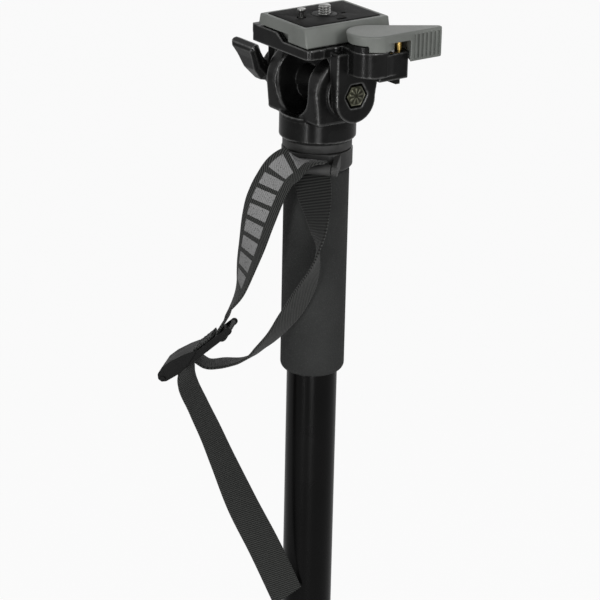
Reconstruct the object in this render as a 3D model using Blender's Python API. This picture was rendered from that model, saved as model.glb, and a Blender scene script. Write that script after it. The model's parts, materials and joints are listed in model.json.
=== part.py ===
# Monopod with a tilt head, a quick-release plate and a wrist strap, closed and with its plate level.
# Metres, +Z up. The origin is the centre of the rubber foot's underside, on the pole's axis.
# +X runs along the tilt axis towards the hexagon bolt, +Y along the long side of the plate.
import math

import bmesh
import bpy
from mathutils import Matrix, Vector

# Fits and cuts
GAP = 0.0003
OVERRUN = 0.002
SINK = 0.0006
ROUND = 32
SMALL_ROUND = 16
FINE_ROUND = 12
PROFILE_STEPS = 6

# Pole: three tubes that slide in each other
CLOSED_HEIGHT = 0.645
UPPER_TUBE_DIAMETER = 0.027
MIDDLE_TUBE_DIAMETER = 0.022
LOWER_TUBE_DIAMETER = 0.017
TUBE_WALL = 0.001
LOWER_TUBE_SHOWN = 0.010
MIDDLE_TUBE_SHOWN = 0.008
MIDDLE_HEADROOM = 0.008
LOWER_HEADROOM = 0.012
GUIDE_LENGTH = 0.025
GUIDE_LIP = 0.0015

# Rubber foot and the plug above it
FOOT_DIAMETER = 0.034
FOOT_TOP_DIAMETER = 0.0235
FOOT_HEIGHT = 0.036
FOOT_SOLE = 0.012
FOOT_BEVEL = 0.0015
FOOT_GROOVE_DEPTH = 0.0012
FOOT_GROOVE_HEIGHT = 0.0016
FOOT_GROOVES = 3
PLUG_LENGTH = 0.012

# Leg locks: a split collar, a clamp bolt with an eye, and a cam lever
LOCK_GRIP_HEIGHT = 0.020
LOCK_SLEEVE_HEIGHT = 0.014
LOCK_WALL = 0.0026
LOCK_SHOULDER = 0.002
LOCK_SPLIT = 0.002
LUG_REACH = 0.0125
LUG_THICKNESS = 0.0055
LUG_HEIGHT = 0.015
LOCK_BOLT_DIAMETER = 0.004
LOCK_PIN_DIAMETER = 0.003
LOCK_EYE_DIAMETER = 0.0075
LOCK_EYE_HEIGHT = 0.006
LOCK_CAM_DIAMETER = 0.011
LOCK_LEVER_THICKNESS = 0.0032
LOCK_LEVER_HEIGHT = 0.0165
LOCK_LEVER_STANDOFF = 0.0012
LOCK_LEVER_SWEEP = math.radians(118)
LOCK_NUT_FLATS = 0.007
LOCK_NUT_HEIGHT = 0.0032

# Hand grip, strap collar and pole cap
GRIP_DIAMETER = 0.0342
GRIP_LENGTH = 0.1136
GRIP_END_ROUND = 0.004
COLLAR_RING_DIAMETER = 0.0372
COLLAR_RING_HEIGHT = 0.0108
COLLAR_RING_CHAMFER = 0.0017
CAP_DIAMETER = 0.0364
CAP_THICKNESS = 0.005
CAP_SPIGOT = 0.022
CAP_BEVEL = 0.0006
STUD_DIAMETER = 0.0095
STUD_RISE = 0.0095
STUD_DEPTH = 0.014

# Strap bracket on the collar: two arms and a cross pin, turned away from the tilt axis
BRACKET_TURN = math.radians(-47.3)
BRACKET_GAP = 0.024
BRACKET_ARM = 0.003
BRACKET_ROOT = 0.0120
BRACKET_TIP_ROUND = 0.0032
BRACKET_ARM_DEPTH = 0.0066
STRAP_PIN_DIAMETER = 0.0058
STRAP_PIN_REACH = 0.0216
STRAP_PIN_DROP = 0.0118
COLLAR_FLAT_REACH = 0.0159

# Head base: collar, two cheeks with a slot between them, and a cross sleeve round the bolt
BASE_DIAMETER = 0.0402
BASE_COLLAR_HEIGHT = 0.0115
BASE_CHAMFER = 0.0009
TILT_RISE = 0.0281
TILT_Y = 0.0015
CHEEK_SPAN = 0.045
CHEEK_Y = 0.0005
CHEEK_RADIUS = 0.0186
CHEEK_FOOT_DEPTH = 0.0336
CHEEK_BEVEL = 0.0017
CHEEK_SLOT = 0.0256
SLOT_MOUTH = 0.0022
SLOT_FLOOR_DROP = 0.0145
SLEEVE_DIAMETER = 0.0135
BOSS_DIAMETER = 0.026
BOSS_RISE = 0.0015
BUSH_DIAMETER = 0.016
BUSH_LENGTH = 0.010
BUSH_FLANGE = 0.0015

# Tilt bolt, friction washers and lock lever
BOLT_DIAMETER = 0.006
BOLT_FLATS = 0.010
BOLT_HEAD_HEIGHT = 0.003
POCKET_FLATS = 0.0122
POCKET_DEPTH = 0.0034
WASHER_DIAMETER = 0.021
EAR_INNER = 0.0255
EAR_THICKNESS = 0.005
EAR_RADIUS = 0.0123
EAR_DROP = 0.0008
EAR_FLARE = 0.0035
EAR_BEVEL = 0.0008
GUSSET_ROOT = 0.0190
GUSSET_THICKNESS = 0.0018
GUSSET_DROP = 0.0045
LEVER_HUB_DIAMETER = 0.022
LEVER_HUB_LENGTH = 0.0078
LEVER_INSERT_FLATS = 0.010
LEVER_INSERT_LENGTH = 0.0055
LEVER_CAP_DIAMETER = 0.0135
LEVER_CAP_HEIGHT = 0.0022
WING_EDGE_SHARE = 0.6

# Platform floor, fixed jaw and end stop
PLATE_SHIFT = 0.0023
FLOOR_RISE = 0.0204
FLOOR_THICKNESS = 0.0052
FLOOR_WIDTH = 0.0492
FLOOR_LENGTH = 0.0544
FLOOR_CORNER = 0.0008
FLOOR_NEAR_CORNER = 0.003
FLOOR_BEVEL = 0.0006
JAW_RISE = 0.0041
STOP_THICKNESS = 0.003
STOP_END = -0.0036
STOP_RAMP = 0.0058
RIB_RADII = (0.0048, 0.0034)
RIB_PLACES = (-0.0155, -0.0068)
RIB_PROUD = 0.0006
TRIGGER_DIAMETER = 0.006
TRIGGER_HEIGHT = 0.0018
TRIGGER_SPRING_HEIGHT = 0.0026
TRIGGER_X = -0.010
TRIGGER_Y = 0.016

# Clamp housing and lever on the +X side
HUB_X = 0.0349
HUB_Y = 0.0058
HUB_DIAMETER = 0.0246
HUB_HEIGHT = 0.0085
HUB_TOP_DROP = 0.0015
HUB_BEVEL = 0.0007
BARREL_DIAMETER = 0.0216
BARREL_DROP = 0.0238
BLOCK_TOP_DROP = 0.0124
BLOCK_DROP = 0.0266
BLOCK_OUTER_X = 0.0410
BLOCK_RADIUS = 0.0199
HOUSING_WEB_START = -0.0040
ARM_THICKNESS = 0.0046
ARM_TIP_X = 0.0448
ARM_TIP_Y = 0.0412
ARM_TIP_RADIUS = 0.0021
FINGER_RADIUS = 0.0204
FINGER_DROP = 0.0170
FINGER_RIBS = 7
FINGER_RIB_PITCH = 0.0026
FINGER_RIB_PROUD = 0.0005
FINGER_RIB_WIDTH = 0.0013
PIVOT_DIAMETER = 0.005
PIVOT_HEAD_DIAMETER = 0.0066
PIVOT_HEAD_HEIGHT = 0.0018
HUB_LID = 0.0016
SAFETY_PIN_DIAMETER = 0.004
SAFETY_PIN_X = 0.0375
SAFETY_PIN_Y = 0.0218
SAFETY_PIN_TOP_DROP = 0.0066
SAFETY_TAB_Y = 0.0212
SAFETY_TAB_LENGTH = 0.0092
SAFETY_TAB_FLAT = 0.0025
SAFETY_TAB_WIDTH = 0.006
SAFETY_TAB_HEIGHT = 0.0030

# Quick-release plate and what it carries
PLATE_X = 0.0005
PLATE_WIDTH = 0.039
PLATE_LENGTH = 0.0532
PLATE_FLARE = 0.00225
PLATE_HEIGHT = 0.0100
PLATE_BEVEL = 0.0006
BAND_HEIGHT = 0.0057
END_NOTCH = 0.0036
NOTCH_END = 0.0060
PAD_MARGIN = 0.0026
PAD_THICKNESS = 0.0016
PAD_CORNER = 0.0015
PLATE_RECESS_DIAMETER = 0.020
PLATE_RECESS_DEPTH = 0.0062
SCREW_DIAMETER = 0.00635
SCREW_RISE = 0.0052
SCREW_HEAD_DIAMETER = 0.014
SCREW_HEAD_HEIGHT = 0.0026
SCREW_SLOT = 0.0014
RETAINER_DIAMETER = 0.0136
RETAINER_PROUD = 0.0004
RING_WIRE = 0.0014
RING_DIAMETER = 0.0155
TWIST_PIN_X = 0.0004
TWIST_PIN_Y = -0.0122
TWIST_STEM_DIAMETER = 0.003
TWIST_HEAD_DIAMETER = 0.0044
TWIST_HEAD_HEIGHT = 0.0013
TWIST_RISE = 0.0050
TWIST_FLANGE_DIAMETER = 0.0052
TWIST_FLANGE_HEIGHT = 0.001
TWIST_SHOULDER_DEPTH = 0.0030
TWIST_PLUG_HEIGHT = 0.0012
PAD_SLOTS = ((0.0130, 0.0040, 0.0060, 0.0022), (0.0040, 0.0115, 0.0028, 0.0020))

# Springs
SPRING_WIRE = 0.0004
SPRING_TURNS = 4
SPRING_TURN_POINTS = 8
SPRING_SIDES = 5

# Webbing strap and buckle
WEBBING_WIDTH = 0.019
WEBBING_THICKNESS = 0.0014
ROUTE_STEPS = 3
STRAP_VIEW_TURN = math.radians(-36.3)
BUCKLE_BAR_DIAMETER = 0.0030
BUCKLE_START = (-0.0465, 0.017, -0.1052)
BUCKLE_SLOPE = math.radians(34.5)
BUCKLE_TILT = math.radians(15.0)
BUCKLE_LENGTH = 0.0404
BUCKLE_HEAD = 0.0085
BUCKLE_RAIL = 0.0022
BUCKLE_DEPTH = 0.0034
BUCKLE_CAM_BAR_SHARE = 0.58
BUCKLE_PIN_DIAMETER = 0.0024
BUCKLE_PIN_PROUD = 0.0012
BUCKLE_COVER_THICKNESS = 0.0022
BUCKLE_COVER_SHARE = 0.28
BUCKLE_WEB_LENGTH = 0.004

# Heights that follow from the sizes above
LOWER_TUBE_Z = FOOT_SOLE + GAP
LOWER_LOCK_Z = FOOT_HEIGHT + LOWER_TUBE_SHOWN
LOCK_HEIGHT = LOCK_GRIP_HEIGHT + LOCK_SLEEVE_HEIGHT
MIDDLE_TUBE_Z = LOWER_LOCK_Z + LOCK_GRIP_HEIGHT + GAP
UPPER_LOCK_Z = LOWER_LOCK_Z + LOCK_HEIGHT + MIDDLE_TUBE_SHOWN
UPPER_TUBE_Z = UPPER_LOCK_Z + LOCK_GRIP_HEIGHT + GAP
CAP_Z = CLOSED_HEIGHT - CAP_THICKNESS
UPPER_TUBE_TOP = CAP_Z - GAP
MIDDLE_TUBE_TOP = UPPER_TUBE_TOP - CAP_SPIGOT - MIDDLE_HEADROOM
LOWER_TUBE_TOP = MIDDLE_TUBE_TOP - LOWER_HEADROOM
RING_TOP = CAP_Z - GAP
RING_Z = RING_TOP - COLLAR_RING_HEIGHT
GRIP_TOP = RING_Z - GAP
SEAT_Z = CLOSED_HEIGHT + GAP
TILT_Z = SEAT_Z + TILT_RISE
CHEEK_FOOT_Z = SEAT_Z + BASE_COLLAR_HEIGHT
FLOOR_Z = TILT_Z + FLOOR_RISE
FLOOR_TOP = FLOOR_Z + FLOOR_THICKNESS
PLATE_Z = FLOOR_TOP + GAP
PLATE_TOP = PLATE_Z + PLATE_HEIGHT
HUB_TOP = PLATE_TOP - HUB_TOP_DROP
HUB_Z = HUB_TOP - HUB_HEIGHT
BARREL_TOP = HUB_Z - GAP
BARREL_Z = PLATE_TOP - BARREL_DROP

UPPER_TUBE_RADIUS = UPPER_TUBE_DIAMETER / 2
MIDDLE_TUBE_RADIUS = MIDDLE_TUBE_DIAMETER / 2
LOWER_TUBE_RADIUS = LOWER_TUBE_DIAMETER / 2
EAR_OUTER = EAR_INNER + EAR_THICKNESS
BOSS_X = CHEEK_SPAN / 2 + BOSS_RISE
TILT_AXIS = (0, TILT_Y, TILT_Z)
PLATE_MIDDLE = (PLATE_X, PLATE_SHIFT, 0)
BLOCK_Z = PLATE_TOP - BLOCK_DROP


# Colours

def finish(name, colour, roughness, metallic):
    material = bpy.data.materials.new(name)
    material.use_nodes = True
    shader = material.node_tree.nodes['Principled BSDF']
    shader.inputs['Base Color'].default_value = (*colour, 1)
    shader.inputs['Roughness'].default_value = roughness
    shader.inputs['Metallic'].default_value = metallic
    material.diffuse_color = (*colour, 1)
    return material


def make_finishes():
    return {
        'casting': finish('satin_black_casting', (0.014, 0.014, 0.014), 0.42, 0.3),
        'plate': finish('grey_plate', (0.15, 0.16, 0.155), 0.5, 0.4),
        'pad': finish('dark_pad', (0.03, 0.03, 0.03), 0.85, 0),
        'steel': finish('bright_steel', (0.42, 0.42, 0.4), 0.32, 1),
        'zinc': finish('yellow_zinc', (0.32, 0.30, 0.14), 0.4, 1),
        'brass': finish('brass', (0.62, 0.42, 0.13), 0.3, 1),
        'plastic': finish('black_plastic', (0.018, 0.018, 0.018), 0.5, 0),
        'nylon': finish('white_nylon', (0.55, 0.55, 0.52), 0.5, 0),
        'foam': finish('grip_foam', (0.03, 0.032, 0.031), 0.9, 0),
        'tube': finish('gloss_black_tube', (0.006, 0.006, 0.006), 0.22, 0.2),
        'rubber': finish('foot_rubber', (0.022, 0.022, 0.022), 0.8, 0),
        'webbing': finish('strap_webbing', (0.04, 0.043, 0.04), 0.85, 0),
    }


# Shapes, made in the object's own coordinates

def shape(points, faces):
    mesh = bmesh.new()
    corners = [mesh.verts.new(point) for point in points]
    for face in faces:
        mesh.faces.new([corners[index] for index in face])
    bmesh.ops.recalc_face_normals(mesh, faces=mesh.faces)
    return mesh


def rings_joined(rings, closed=False):
    # rings of equal length bridged in turn; open runs get a cap at each end
    count = len(rings[0])
    points = [point for ring in rings for point in ring]
    faces = []
    last = len(rings) if closed else len(rings) - 1
    for layer in range(last):
        here = layer * count
        there = (layer + 1) % len(rings) * count
        for side in range(count):
            turn = (side + 1) % count
            faces.append((here + side, here + turn, there + turn, there + side))
    if not closed:
        faces.append(tuple(range(count)))
        faces.append(tuple(range((len(rings) - 1) * count, len(rings) * count)))
    return shape(points, faces)


def axis_frame(axis):
    # two unit vectors across an axis, and the axis itself
    along = Vector(axis).normalized()
    helper = Vector((0, 0, 1)) if abs(along.z) < abs(along.x) + abs(along.y) else Vector((1, 0, 0))
    across = helper.cross(along).normalized()
    return across, along.cross(across), along


def turned(profile, centre=(0, 0, 0), axis=(0, 0, 1), segments=ROUND, hollow=False):
    # a profile of (radius, height) pairs spun about an axis; hollow profiles close on themselves
    across, beside, along = axis_frame(axis)
    centre = Vector(centre)
    mesh = bmesh.new()
    corners = [mesh.verts.new(centre + across * radius + along * height) for radius, height in profile]
    edges = [mesh.edges.new(pair) for pair in zip(corners, corners[1:])]
    if hollow:
        edges.append(mesh.edges.new((corners[-1], corners[0])))
    bmesh.ops.spin(mesh, geom=corners + edges, cent=centre, axis=along, angle=math.tau,
                   steps=segments, use_merge=True, use_duplicate=False)
    bmesh.ops.remove_doubles(mesh, verts=mesh.verts, dist=OVERRUN / 1000)
    # the points on the axis go, which leaves each end one flat face
    poles = [corner for corner in mesh.verts if (corner.co - centre).cross(along).length < OVERRUN / 1000]
    bmesh.ops.dissolve_verts(mesh, verts=poles)
    bmesh.ops.recalc_face_normals(mesh, faces=mesh.faces)
    return mesh


def cylinder(radius, start, end, centre=(0, 0, 0), axis=(0, 0, 1), segments=ROUND, bevel=0):
    if bevel:
        profile = [(0, start), (radius - bevel, start), (radius, start + bevel),
                   (radius, end - bevel), (radius - bevel, end), (0, end)]
    else:
        profile = [(0, start), (radius, start), (radius, end), (0, end)]
    return turned(profile, centre, axis, segments)


def tube(outer, inner, start, end, centre=(0, 0, 0), axis=(0, 0, 1), segments=ROUND):
    profile = [(inner, start), (outer, start), (outer, end), (inner, end)]
    return turned(profile, centre, axis, segments, hollow=True)


def hexagon(flats, start, end, centre=(0, 0, 0), axis=(0, 0, 1), turn=0):
    across, beside, along = axis_frame(axis)
    centre = Vector(centre)
    reach = flats / math.sqrt(3)
    rings = []
    for height in (start, end):
        ring = []
        for corner in range(6):
            angle = turn + math.tau * corner / 6
            ring.append(centre + along * height + (across * math.cos(angle) + beside * math.sin(angle)) * reach)
        rings.append(ring)
    return rings_joined(rings)


def prism(outline, plane, start, end):
    # an outline of pairs in plane 'xy', 'yz' or 'xz', drawn out along the axis that is left
    place = {
        'xy': lambda a, b, c: (a, b, c),
        'yz': lambda a, b, c: (c, a, b),
        'xz': lambda a, b, c: (a, c, b),
    }[plane]
    rings = [[Vector(place(a, b, height)) for a, b in outline] for height in (start, end)]
    return rings_joined(rings)


def block(x_range, y_range, z_range):
    outline = [(x_range[0], y_range[0]), (x_range[1], y_range[0]),
               (x_range[1], y_range[1]), (x_range[0], y_range[1])]
    return prism(outline, 'xy', *z_range)


def arc(centre, radius, start, end, steps=PROFILE_STEPS):
    points = []
    for step in range(steps + 1):
        angle = start + (end - start) * step / steps
        points.append((centre[0] + radius * math.cos(angle), centre[1] + radius * math.sin(angle)))
    return points


def rounded_rectangle(x_range, y_range, corners, steps=3):
    # corner radii in turn from +X +Y round to +X -Y
    quarter = math.pi / 2
    places = [(x_range[1], y_range[1]), (x_range[0], y_range[1]), (x_range[0], y_range[0]), (x_range[1], y_range[0])]
    outline = []
    for number, (x, y) in enumerate(places):
        corner = corners[number]
        centre = (x + corner * (1 if number in (1, 2) else -1), y + corner * (1 if number in (2, 3) else -1))
        outline += arc(centre, corner, quarter * number, quarter * (number + 1), steps)
    return outline


# Objects

def empty(name, place, parent=None):
    holder = bpy.data.objects.new(name, None)
    bpy.context.scene.collection.objects.link(holder)
    holder.location = place
    if parent:
        holder.parent = parent
        holder.location = Vector(place) - Vector(parent['place'])
    holder['place'] = tuple(place)
    holder.empty_display_size = TUBE_WALL
    return holder


def solid(name, mesh, material, holder=None):
    # the mesh is moved so that the object's origin lies on its holder's axis
    origin = Vector(holder['place']) if holder else Vector((0, 0, 0))
    bmesh.ops.translate(mesh, verts=mesh.verts, vec=-origin)
    data = bpy.data.meshes.new(name)
    mesh.to_mesh(data)
    mesh.free()
    data.materials.append(material)
    data.shade_smooth()
    data.set_sharp_from_angle(angle=math.radians(35))
    thing = bpy.data.objects.new(name, data)
    bpy.context.scene.collection.objects.link(thing)
    if holder:
        thing.parent = holder
    return thing


def tool(thing, mesh, operation):
    # a hidden cutter or addition, worked into the object by a Boolean
    helper = solid(f'{thing.name}_{operation.lower()}', mesh, thing.data.materials[0])
    helper.hide_render = True
    helper.display_type = 'WIRE'
    modifier = thing.modifiers.new(operation.title(), 'BOOLEAN')
    modifier.operation = operation
    modifier.object = helper
    modifier.solver = 'EXACT'


def cut(thing, *meshes):
    for mesh in meshes:
        tool(thing, mesh, 'DIFFERENCE')


def add(thing, *meshes):
    for mesh in meshes:
        tool(thing, mesh, 'UNION')


def bevel(thing, width, segments=1, angle=40):
    modifier = thing.modifiers.new('Bevel', 'BEVEL')
    modifier.width = width
    modifier.segments = segments
    modifier.limit_method = 'ANGLE'
    modifier.angle_limit = math.radians(angle)
    modifier.harden_normals = False


def spring(name, radius, start, end, centre, material, holder):
    # one wire with closed first and last points, wound up the Z axis
    count = SPRING_TURNS * SPRING_TURN_POINTS
    wire = SPRING_WIRE / 2
    centre = Vector(centre)
    rise = end - start - SPRING_WIRE
    rings = []
    for step in range(count + 1):
        angle = math.tau * step / SPRING_TURN_POINTS
        out = Vector((math.cos(angle), math.sin(angle), 0))
        middle = centre + out * radius + Vector((0, 0, start + wire + rise * step / count))
        ring = []
        for side in range(SPRING_SIDES):
            turn = math.tau * side / SPRING_SIDES
            ring.append(middle + out * wire * math.cos(turn) + Vector((0, 0, wire * math.sin(turn))))
        rings.append(ring)
    return solid(name, rings_joined(rings), material, holder)


# The pole

def make_tubes(finishes, middle, lower):
    grip = tube(UPPER_TUBE_RADIUS, UPPER_TUBE_RADIUS - TUBE_WALL, UPPER_TUBE_Z, UPPER_TUBE_TOP)
    solid('upper_tube', grip, finishes['tube'])
    inner = tube(MIDDLE_TUBE_RADIUS, MIDDLE_TUBE_RADIUS - TUBE_WALL, MIDDLE_TUBE_Z, MIDDLE_TUBE_TOP)
    solid('middle_tube', inner, finishes['tube'], middle)
    last = tube(LOWER_TUBE_RADIUS, LOWER_TUBE_RADIUS - TUBE_WALL, LOWER_TUBE_Z, LOWER_TUBE_TOP)
    solid('lower_tube', last, finishes['tube'], lower)


def make_guide(name, inner_tube_radius, outer_tube_radius, top, material, holder):
    # a bush round an inner tube's top end, with a lip turned in over the end
    outside = outer_tube_radius - TUBE_WALL - GAP
    inside = inner_tube_radius + GAP
    lip = inner_tube_radius - TUBE_WALL
    profile = [(inside, top - GUIDE_LENGTH), (outside, top - GUIDE_LENGTH), (outside, top + GUIDE_LIP),
               (lip, top + GUIDE_LIP), (lip, top + GAP), (inside, top + GAP)]
    solid(name, turned(profile, hollow=True), material, holder)


def make_foot(finishes, holder):
    outside = FOOT_DIAMETER / 2
    top = FOOT_TOP_DIAMETER / 2
    bore = LOWER_TUBE_RADIUS + GAP
    profile = [(0, 0), (outside - FOOT_BEVEL, 0), (outside, FOOT_BEVEL), (outside, FOOT_SOLE)]
    slope = (top - outside) / (FOOT_HEIGHT - FOOT_SOLE)
    pitch = (FOOT_HEIGHT - FOOT_SOLE) / (FOOT_GROOVES + 1)
    for groove in range(1, FOOT_GROOVES + 1):
        for side, depth in ((-1, 0), (-1, 1), (1, 1), (1, 0)):
            height = FOOT_SOLE + groove * pitch + side * FOOT_GROOVE_HEIGHT / 2
            profile.append((outside + slope * (height - FOOT_SOLE) - depth * FOOT_GROOVE_DEPTH, height))
    profile += [(top, FOOT_HEIGHT), (bore, FOOT_HEIGHT), (bore, FOOT_SOLE), (0, FOOT_SOLE)]
    solid('rubber_foot', turned(profile), finishes['rubber'], holder)
    inside = LOWER_TUBE_RADIUS - TUBE_WALL - GAP
    plug = cylinder(inside, LOWER_TUBE_Z, LOWER_TUBE_Z + PLUG_LENGTH, segments=SMALL_ROUND)
    solid('tube_plug', plug, finishes['nylon'], holder)


def make_lock(prefix, base, outer_radius, inner_radius, finishes, holder, lever_holder):
    # the split collar grips the inner tube below and is fixed round the outer tube above
    grip = inner_radius + GAP
    sleeve = outer_radius + GAP
    outside = sleeve + LOCK_WALL
    lower_outside = grip + LOCK_WALL + LOCK_SHOULDER
    seat = base + LOCK_GRIP_HEIGHT
    top = base + LOCK_HEIGHT
    collar = solid(f'{prefix}_lock_collar', turned([
        (grip, base), (lower_outside, base), (lower_outside, seat - LOCK_SHOULDER), (outside, seat),
        (outside, top), (sleeve, top), (sleeve, seat), (grip, seat)], hollow=True), finishes['casting'], holder)
    lug_middle = base + LOCK_GRIP_HEIGHT / 2
    lug_z = (lug_middle - LUG_HEIGHT / 2, lug_middle + LUG_HEIGHT / 2)
    lug_face = LOCK_SPLIT / 2 + LUG_THICKNESS
    lug_end = lower_outside + LUG_REACH
    root = grip + LOCK_WALL / 2
    outline = [(root, -lug_face), (lug_end - LUG_THICKNESS / 2, -lug_face), (lug_end, -lug_face / 2),
               (lug_end, lug_face / 2), (lug_end - LUG_THICKNESS / 2, lug_face), (root, lug_face)]
    add(collar, prism(outline, 'xy', *lug_z))
    split = block((0, lug_end + OVERRUN), (-LOCK_SPLIT / 2, LOCK_SPLIT / 2), (base - OVERRUN, seat - LOCK_SHOULDER))
    bolt_radius = LOCK_BOLT_DIAMETER / 2
    bolt_x = lower_outside + LUG_REACH / 2
    across = (bolt_x, 0, lug_middle)
    bore = cylinder(bolt_radius + GAP, -lug_face - OVERRUN, lug_face + OVERRUN, across, (0, 1, 0), FINE_ROUND)
    cut(collar, split, bore)

    nut_start = -lug_face - GAP - LOCK_NUT_HEIGHT
    nut = solid(f'{prefix}_lock_nut', hexagon(LOCK_NUT_FLATS, nut_start, -lug_face - GAP, across, (0, 1, 0)),
                finishes['steel'], holder)
    cut(nut, cylinder(bolt_radius + GAP, nut_start - OVERRUN, -lug_face + OVERRUN, across, (0, 1, 0), FINE_ROUND))

    cam_radius = LOCK_CAM_DIAMETER / 2
    cam_y = lug_face + GAP + cam_radius
    pin_radius = LOCK_PIN_DIAMETER / 2
    eye_radius = LOCK_EYE_DIAMETER / 2
    eye_z = (lug_middle - LOCK_EYE_HEIGHT / 2, lug_middle + LOCK_EYE_HEIGHT / 2)
    bolt = solid(f'{prefix}_lock_bolt', cylinder(bolt_radius, nut_start - bolt_radius / 2, cam_y, across,
                                                 (0, 1, 0), FINE_ROUND), finishes['steel'], holder)
    pivot = (bolt_x, cam_y, 0)
    add(bolt, cylinder(eye_radius, *eye_z, pivot, segments=SMALL_ROUND))
    cut(bolt, cylinder(pin_radius + GAP, eye_z[0] - OVERRUN, eye_z[1] + OVERRUN, pivot, segments=FINE_ROUND))

    lever_z = (lug_middle - LOCK_LEVER_HEIGHT / 2, lug_middle + LOCK_LEVER_HEIGHT / 2)
    pin = cylinder(pin_radius, lever_z[0] + GAP, lever_z[1] - GAP, pivot, segments=FINE_ROUND)
    solid(f'{prefix}_lock_pin', pin, finishes['steel'], lever_holder)

    # the lever leaves its pin and draws in to wrap round the widest ring it passes
    start = math.atan2(cam_y, bolt_x)
    pin_reach = math.hypot(bolt_x, cam_y)
    wrap_reach = max(outside, lower_outside) + LOCK_LEVER_STANDOFF + LOCK_LEVER_THICKNESS / 2
    steps = PROFILE_STEPS * 2
    half = LOCK_LEVER_THICKNESS / 2
    outer = []
    inner = []
    for step in range(steps + 1):
        share = step / steps
        angle = start + LOCK_LEVER_SWEEP * share
        reach = pin_reach + (wrap_reach - pin_reach) * min(1, share * 2)
        outer.append(((reach + half) * math.cos(angle), (reach + half) * math.sin(angle)))
        inner.insert(0, ((reach - half) * math.cos(angle), (reach - half) * math.sin(angle)))
    lever = solid(f'{prefix}_lock_lever', prism(outer + inner, 'xy', *lever_z), finishes['plastic'], lever_holder)
    add(lever, cylinder(cam_radius, *lever_z, pivot, segments=SMALL_ROUND))
    slot_reach = cam_radius + OVERRUN
    slot = block((bolt_x - slot_reach, bolt_x + slot_reach), (cam_y - slot_reach, cam_y + slot_reach),
                 (eye_z[0] - GAP, eye_z[1] + GAP))
    bore = cylinder(pin_radius + GAP, lever_z[0] - OVERRUN, lever_z[1] + OVERRUN, pivot, segments=FINE_ROUND)
    cut(lever, slot, bore)


def make_pole_top(finishes):
    stud = STUD_DIAMETER / 2
    edge = CAP_DIAMETER / 2
    spigot = UPPER_TUBE_RADIUS - TUBE_WALL - GAP
    profile = [(stud + GAP, CAP_Z - CAP_SPIGOT), (spigot, CAP_Z - CAP_SPIGOT), (spigot, CAP_Z),
               (edge - CAP_BEVEL, CAP_Z), (edge, CAP_Z + CAP_BEVEL), (edge, CLOSED_HEIGHT - CAP_BEVEL),
               (edge - CAP_BEVEL, CLOSED_HEIGHT), (stud + GAP, CLOSED_HEIGHT)]
    solid('pole_cap', turned(profile, hollow=True), finishes['casting'])
    screw = cylinder(stud, CLOSED_HEIGHT - STUD_DEPTH, CLOSED_HEIGHT + STUD_RISE, segments=SMALL_ROUND, bevel=GAP)
    solid('head_stud', screw, finishes['steel'])


def bracket_point(reach, side, height):
    # a place given by its reach from the axis along the bracket, its side and its height
    turn = Matrix.Rotation(BRACKET_TURN, 3, 'Z')
    return turn @ Vector((reach, side, height))


def bracket_prism(outline, start, end):
    # an outline of (reach, height) pairs drawn out sideways
    rings = [[bracket_point(reach, side, height) for reach, height in outline] for side in (start, end)]
    return rings_joined(rings)


def make_strap_collar(finishes):
    outside = COLLAR_RING_DIAMETER / 2
    inside = UPPER_TUBE_RADIUS + GAP
    ring = solid('strap_collar', turned([
        (inside, RING_Z), (outside - COLLAR_RING_CHAMFER, RING_Z), (outside, RING_Z + COLLAR_RING_CHAMFER),
        (outside, RING_TOP), (inside, RING_TOP)], hollow=True), finishes['plastic'])
    pin_z = SEAT_Z - STRAP_PIN_DROP
    half = BRACKET_GAP / 2
    front = outside + OVERRUN
    window = [(COLLAR_FLAT_REACH, RING_Z - OVERRUN), (front, RING_Z - OVERRUN),
              (front, RING_TOP + OVERRUN), (COLLAR_FLAT_REACH, RING_TOP + OVERRUN)]
    cut(ring, bracket_prism(window, -half, half))
    tip = arc((STRAP_PIN_REACH, pin_z), BRACKET_TIP_ROUND, -math.pi * 0.62, math.pi * 0.42)
    outline = [(BRACKET_ROOT, RING_TOP - BRACKET_ARM_DEPTH)] + tip + [(BRACKET_ROOT, RING_TOP - GAP)]
    for side in (-1, 1):
        ends = sorted((side * half, side * (half + BRACKET_ARM)))
        add(ring, bracket_prism(outline, *ends))
    axis = bracket_point(0, 1, 0)
    middle = bracket_point(STRAP_PIN_REACH, 0, pin_z)
    pin_radius = STRAP_PIN_DIAMETER / 2
    wide = half + BRACKET_ARM
    hole = pin_radius - BRACKET_ARM / 2
    cut(ring, cylinder(hole + GAP, -wide - OVERRUN, wide + OVERRUN, middle, axis, FINE_ROUND))
    profile = [(0, -wide), (hole, -wide), (hole, -half + GAP), (pin_radius, -half + GAP),
               (pin_radius, half - GAP), (hole, half - GAP), (hole, wide), (0, wide)]
    solid('strap_pin', turned(profile, middle, axis, SMALL_ROUND), finishes['plastic'])


def make_grip(finishes):
    outside = GRIP_DIAMETER / 2
    inside = UPPER_TUBE_RADIUS + GAP
    bottom = GRIP_TOP - GRIP_LENGTH
    edge = arc((outside - GRIP_END_ROUND, bottom + GRIP_END_ROUND), GRIP_END_ROUND, -math.pi / 2, 0, 4)
    bottom_edge = edge[0][0] if edge[0][0] > inside else inside
    profile = [(inside, bottom), (bottom_edge, bottom)] + edge[1:] + [(outside, GRIP_TOP), (inside, GRIP_TOP)]
    solid('foam_grip', turned(profile, hollow=True), finishes['foam'])


# The tilt head

def cheek_outline(radius, foot_depth, foot_z):
    # round over the tilt axis, with sides that draw in to the foot
    top = arc((CHEEK_Y, TILT_Z), radius, 0, math.pi, PROFILE_STEPS * 3)
    return [(CHEEK_Y + foot_depth / 2, foot_z)] + top + [(CHEEK_Y - foot_depth / 2, foot_z)]


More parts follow.
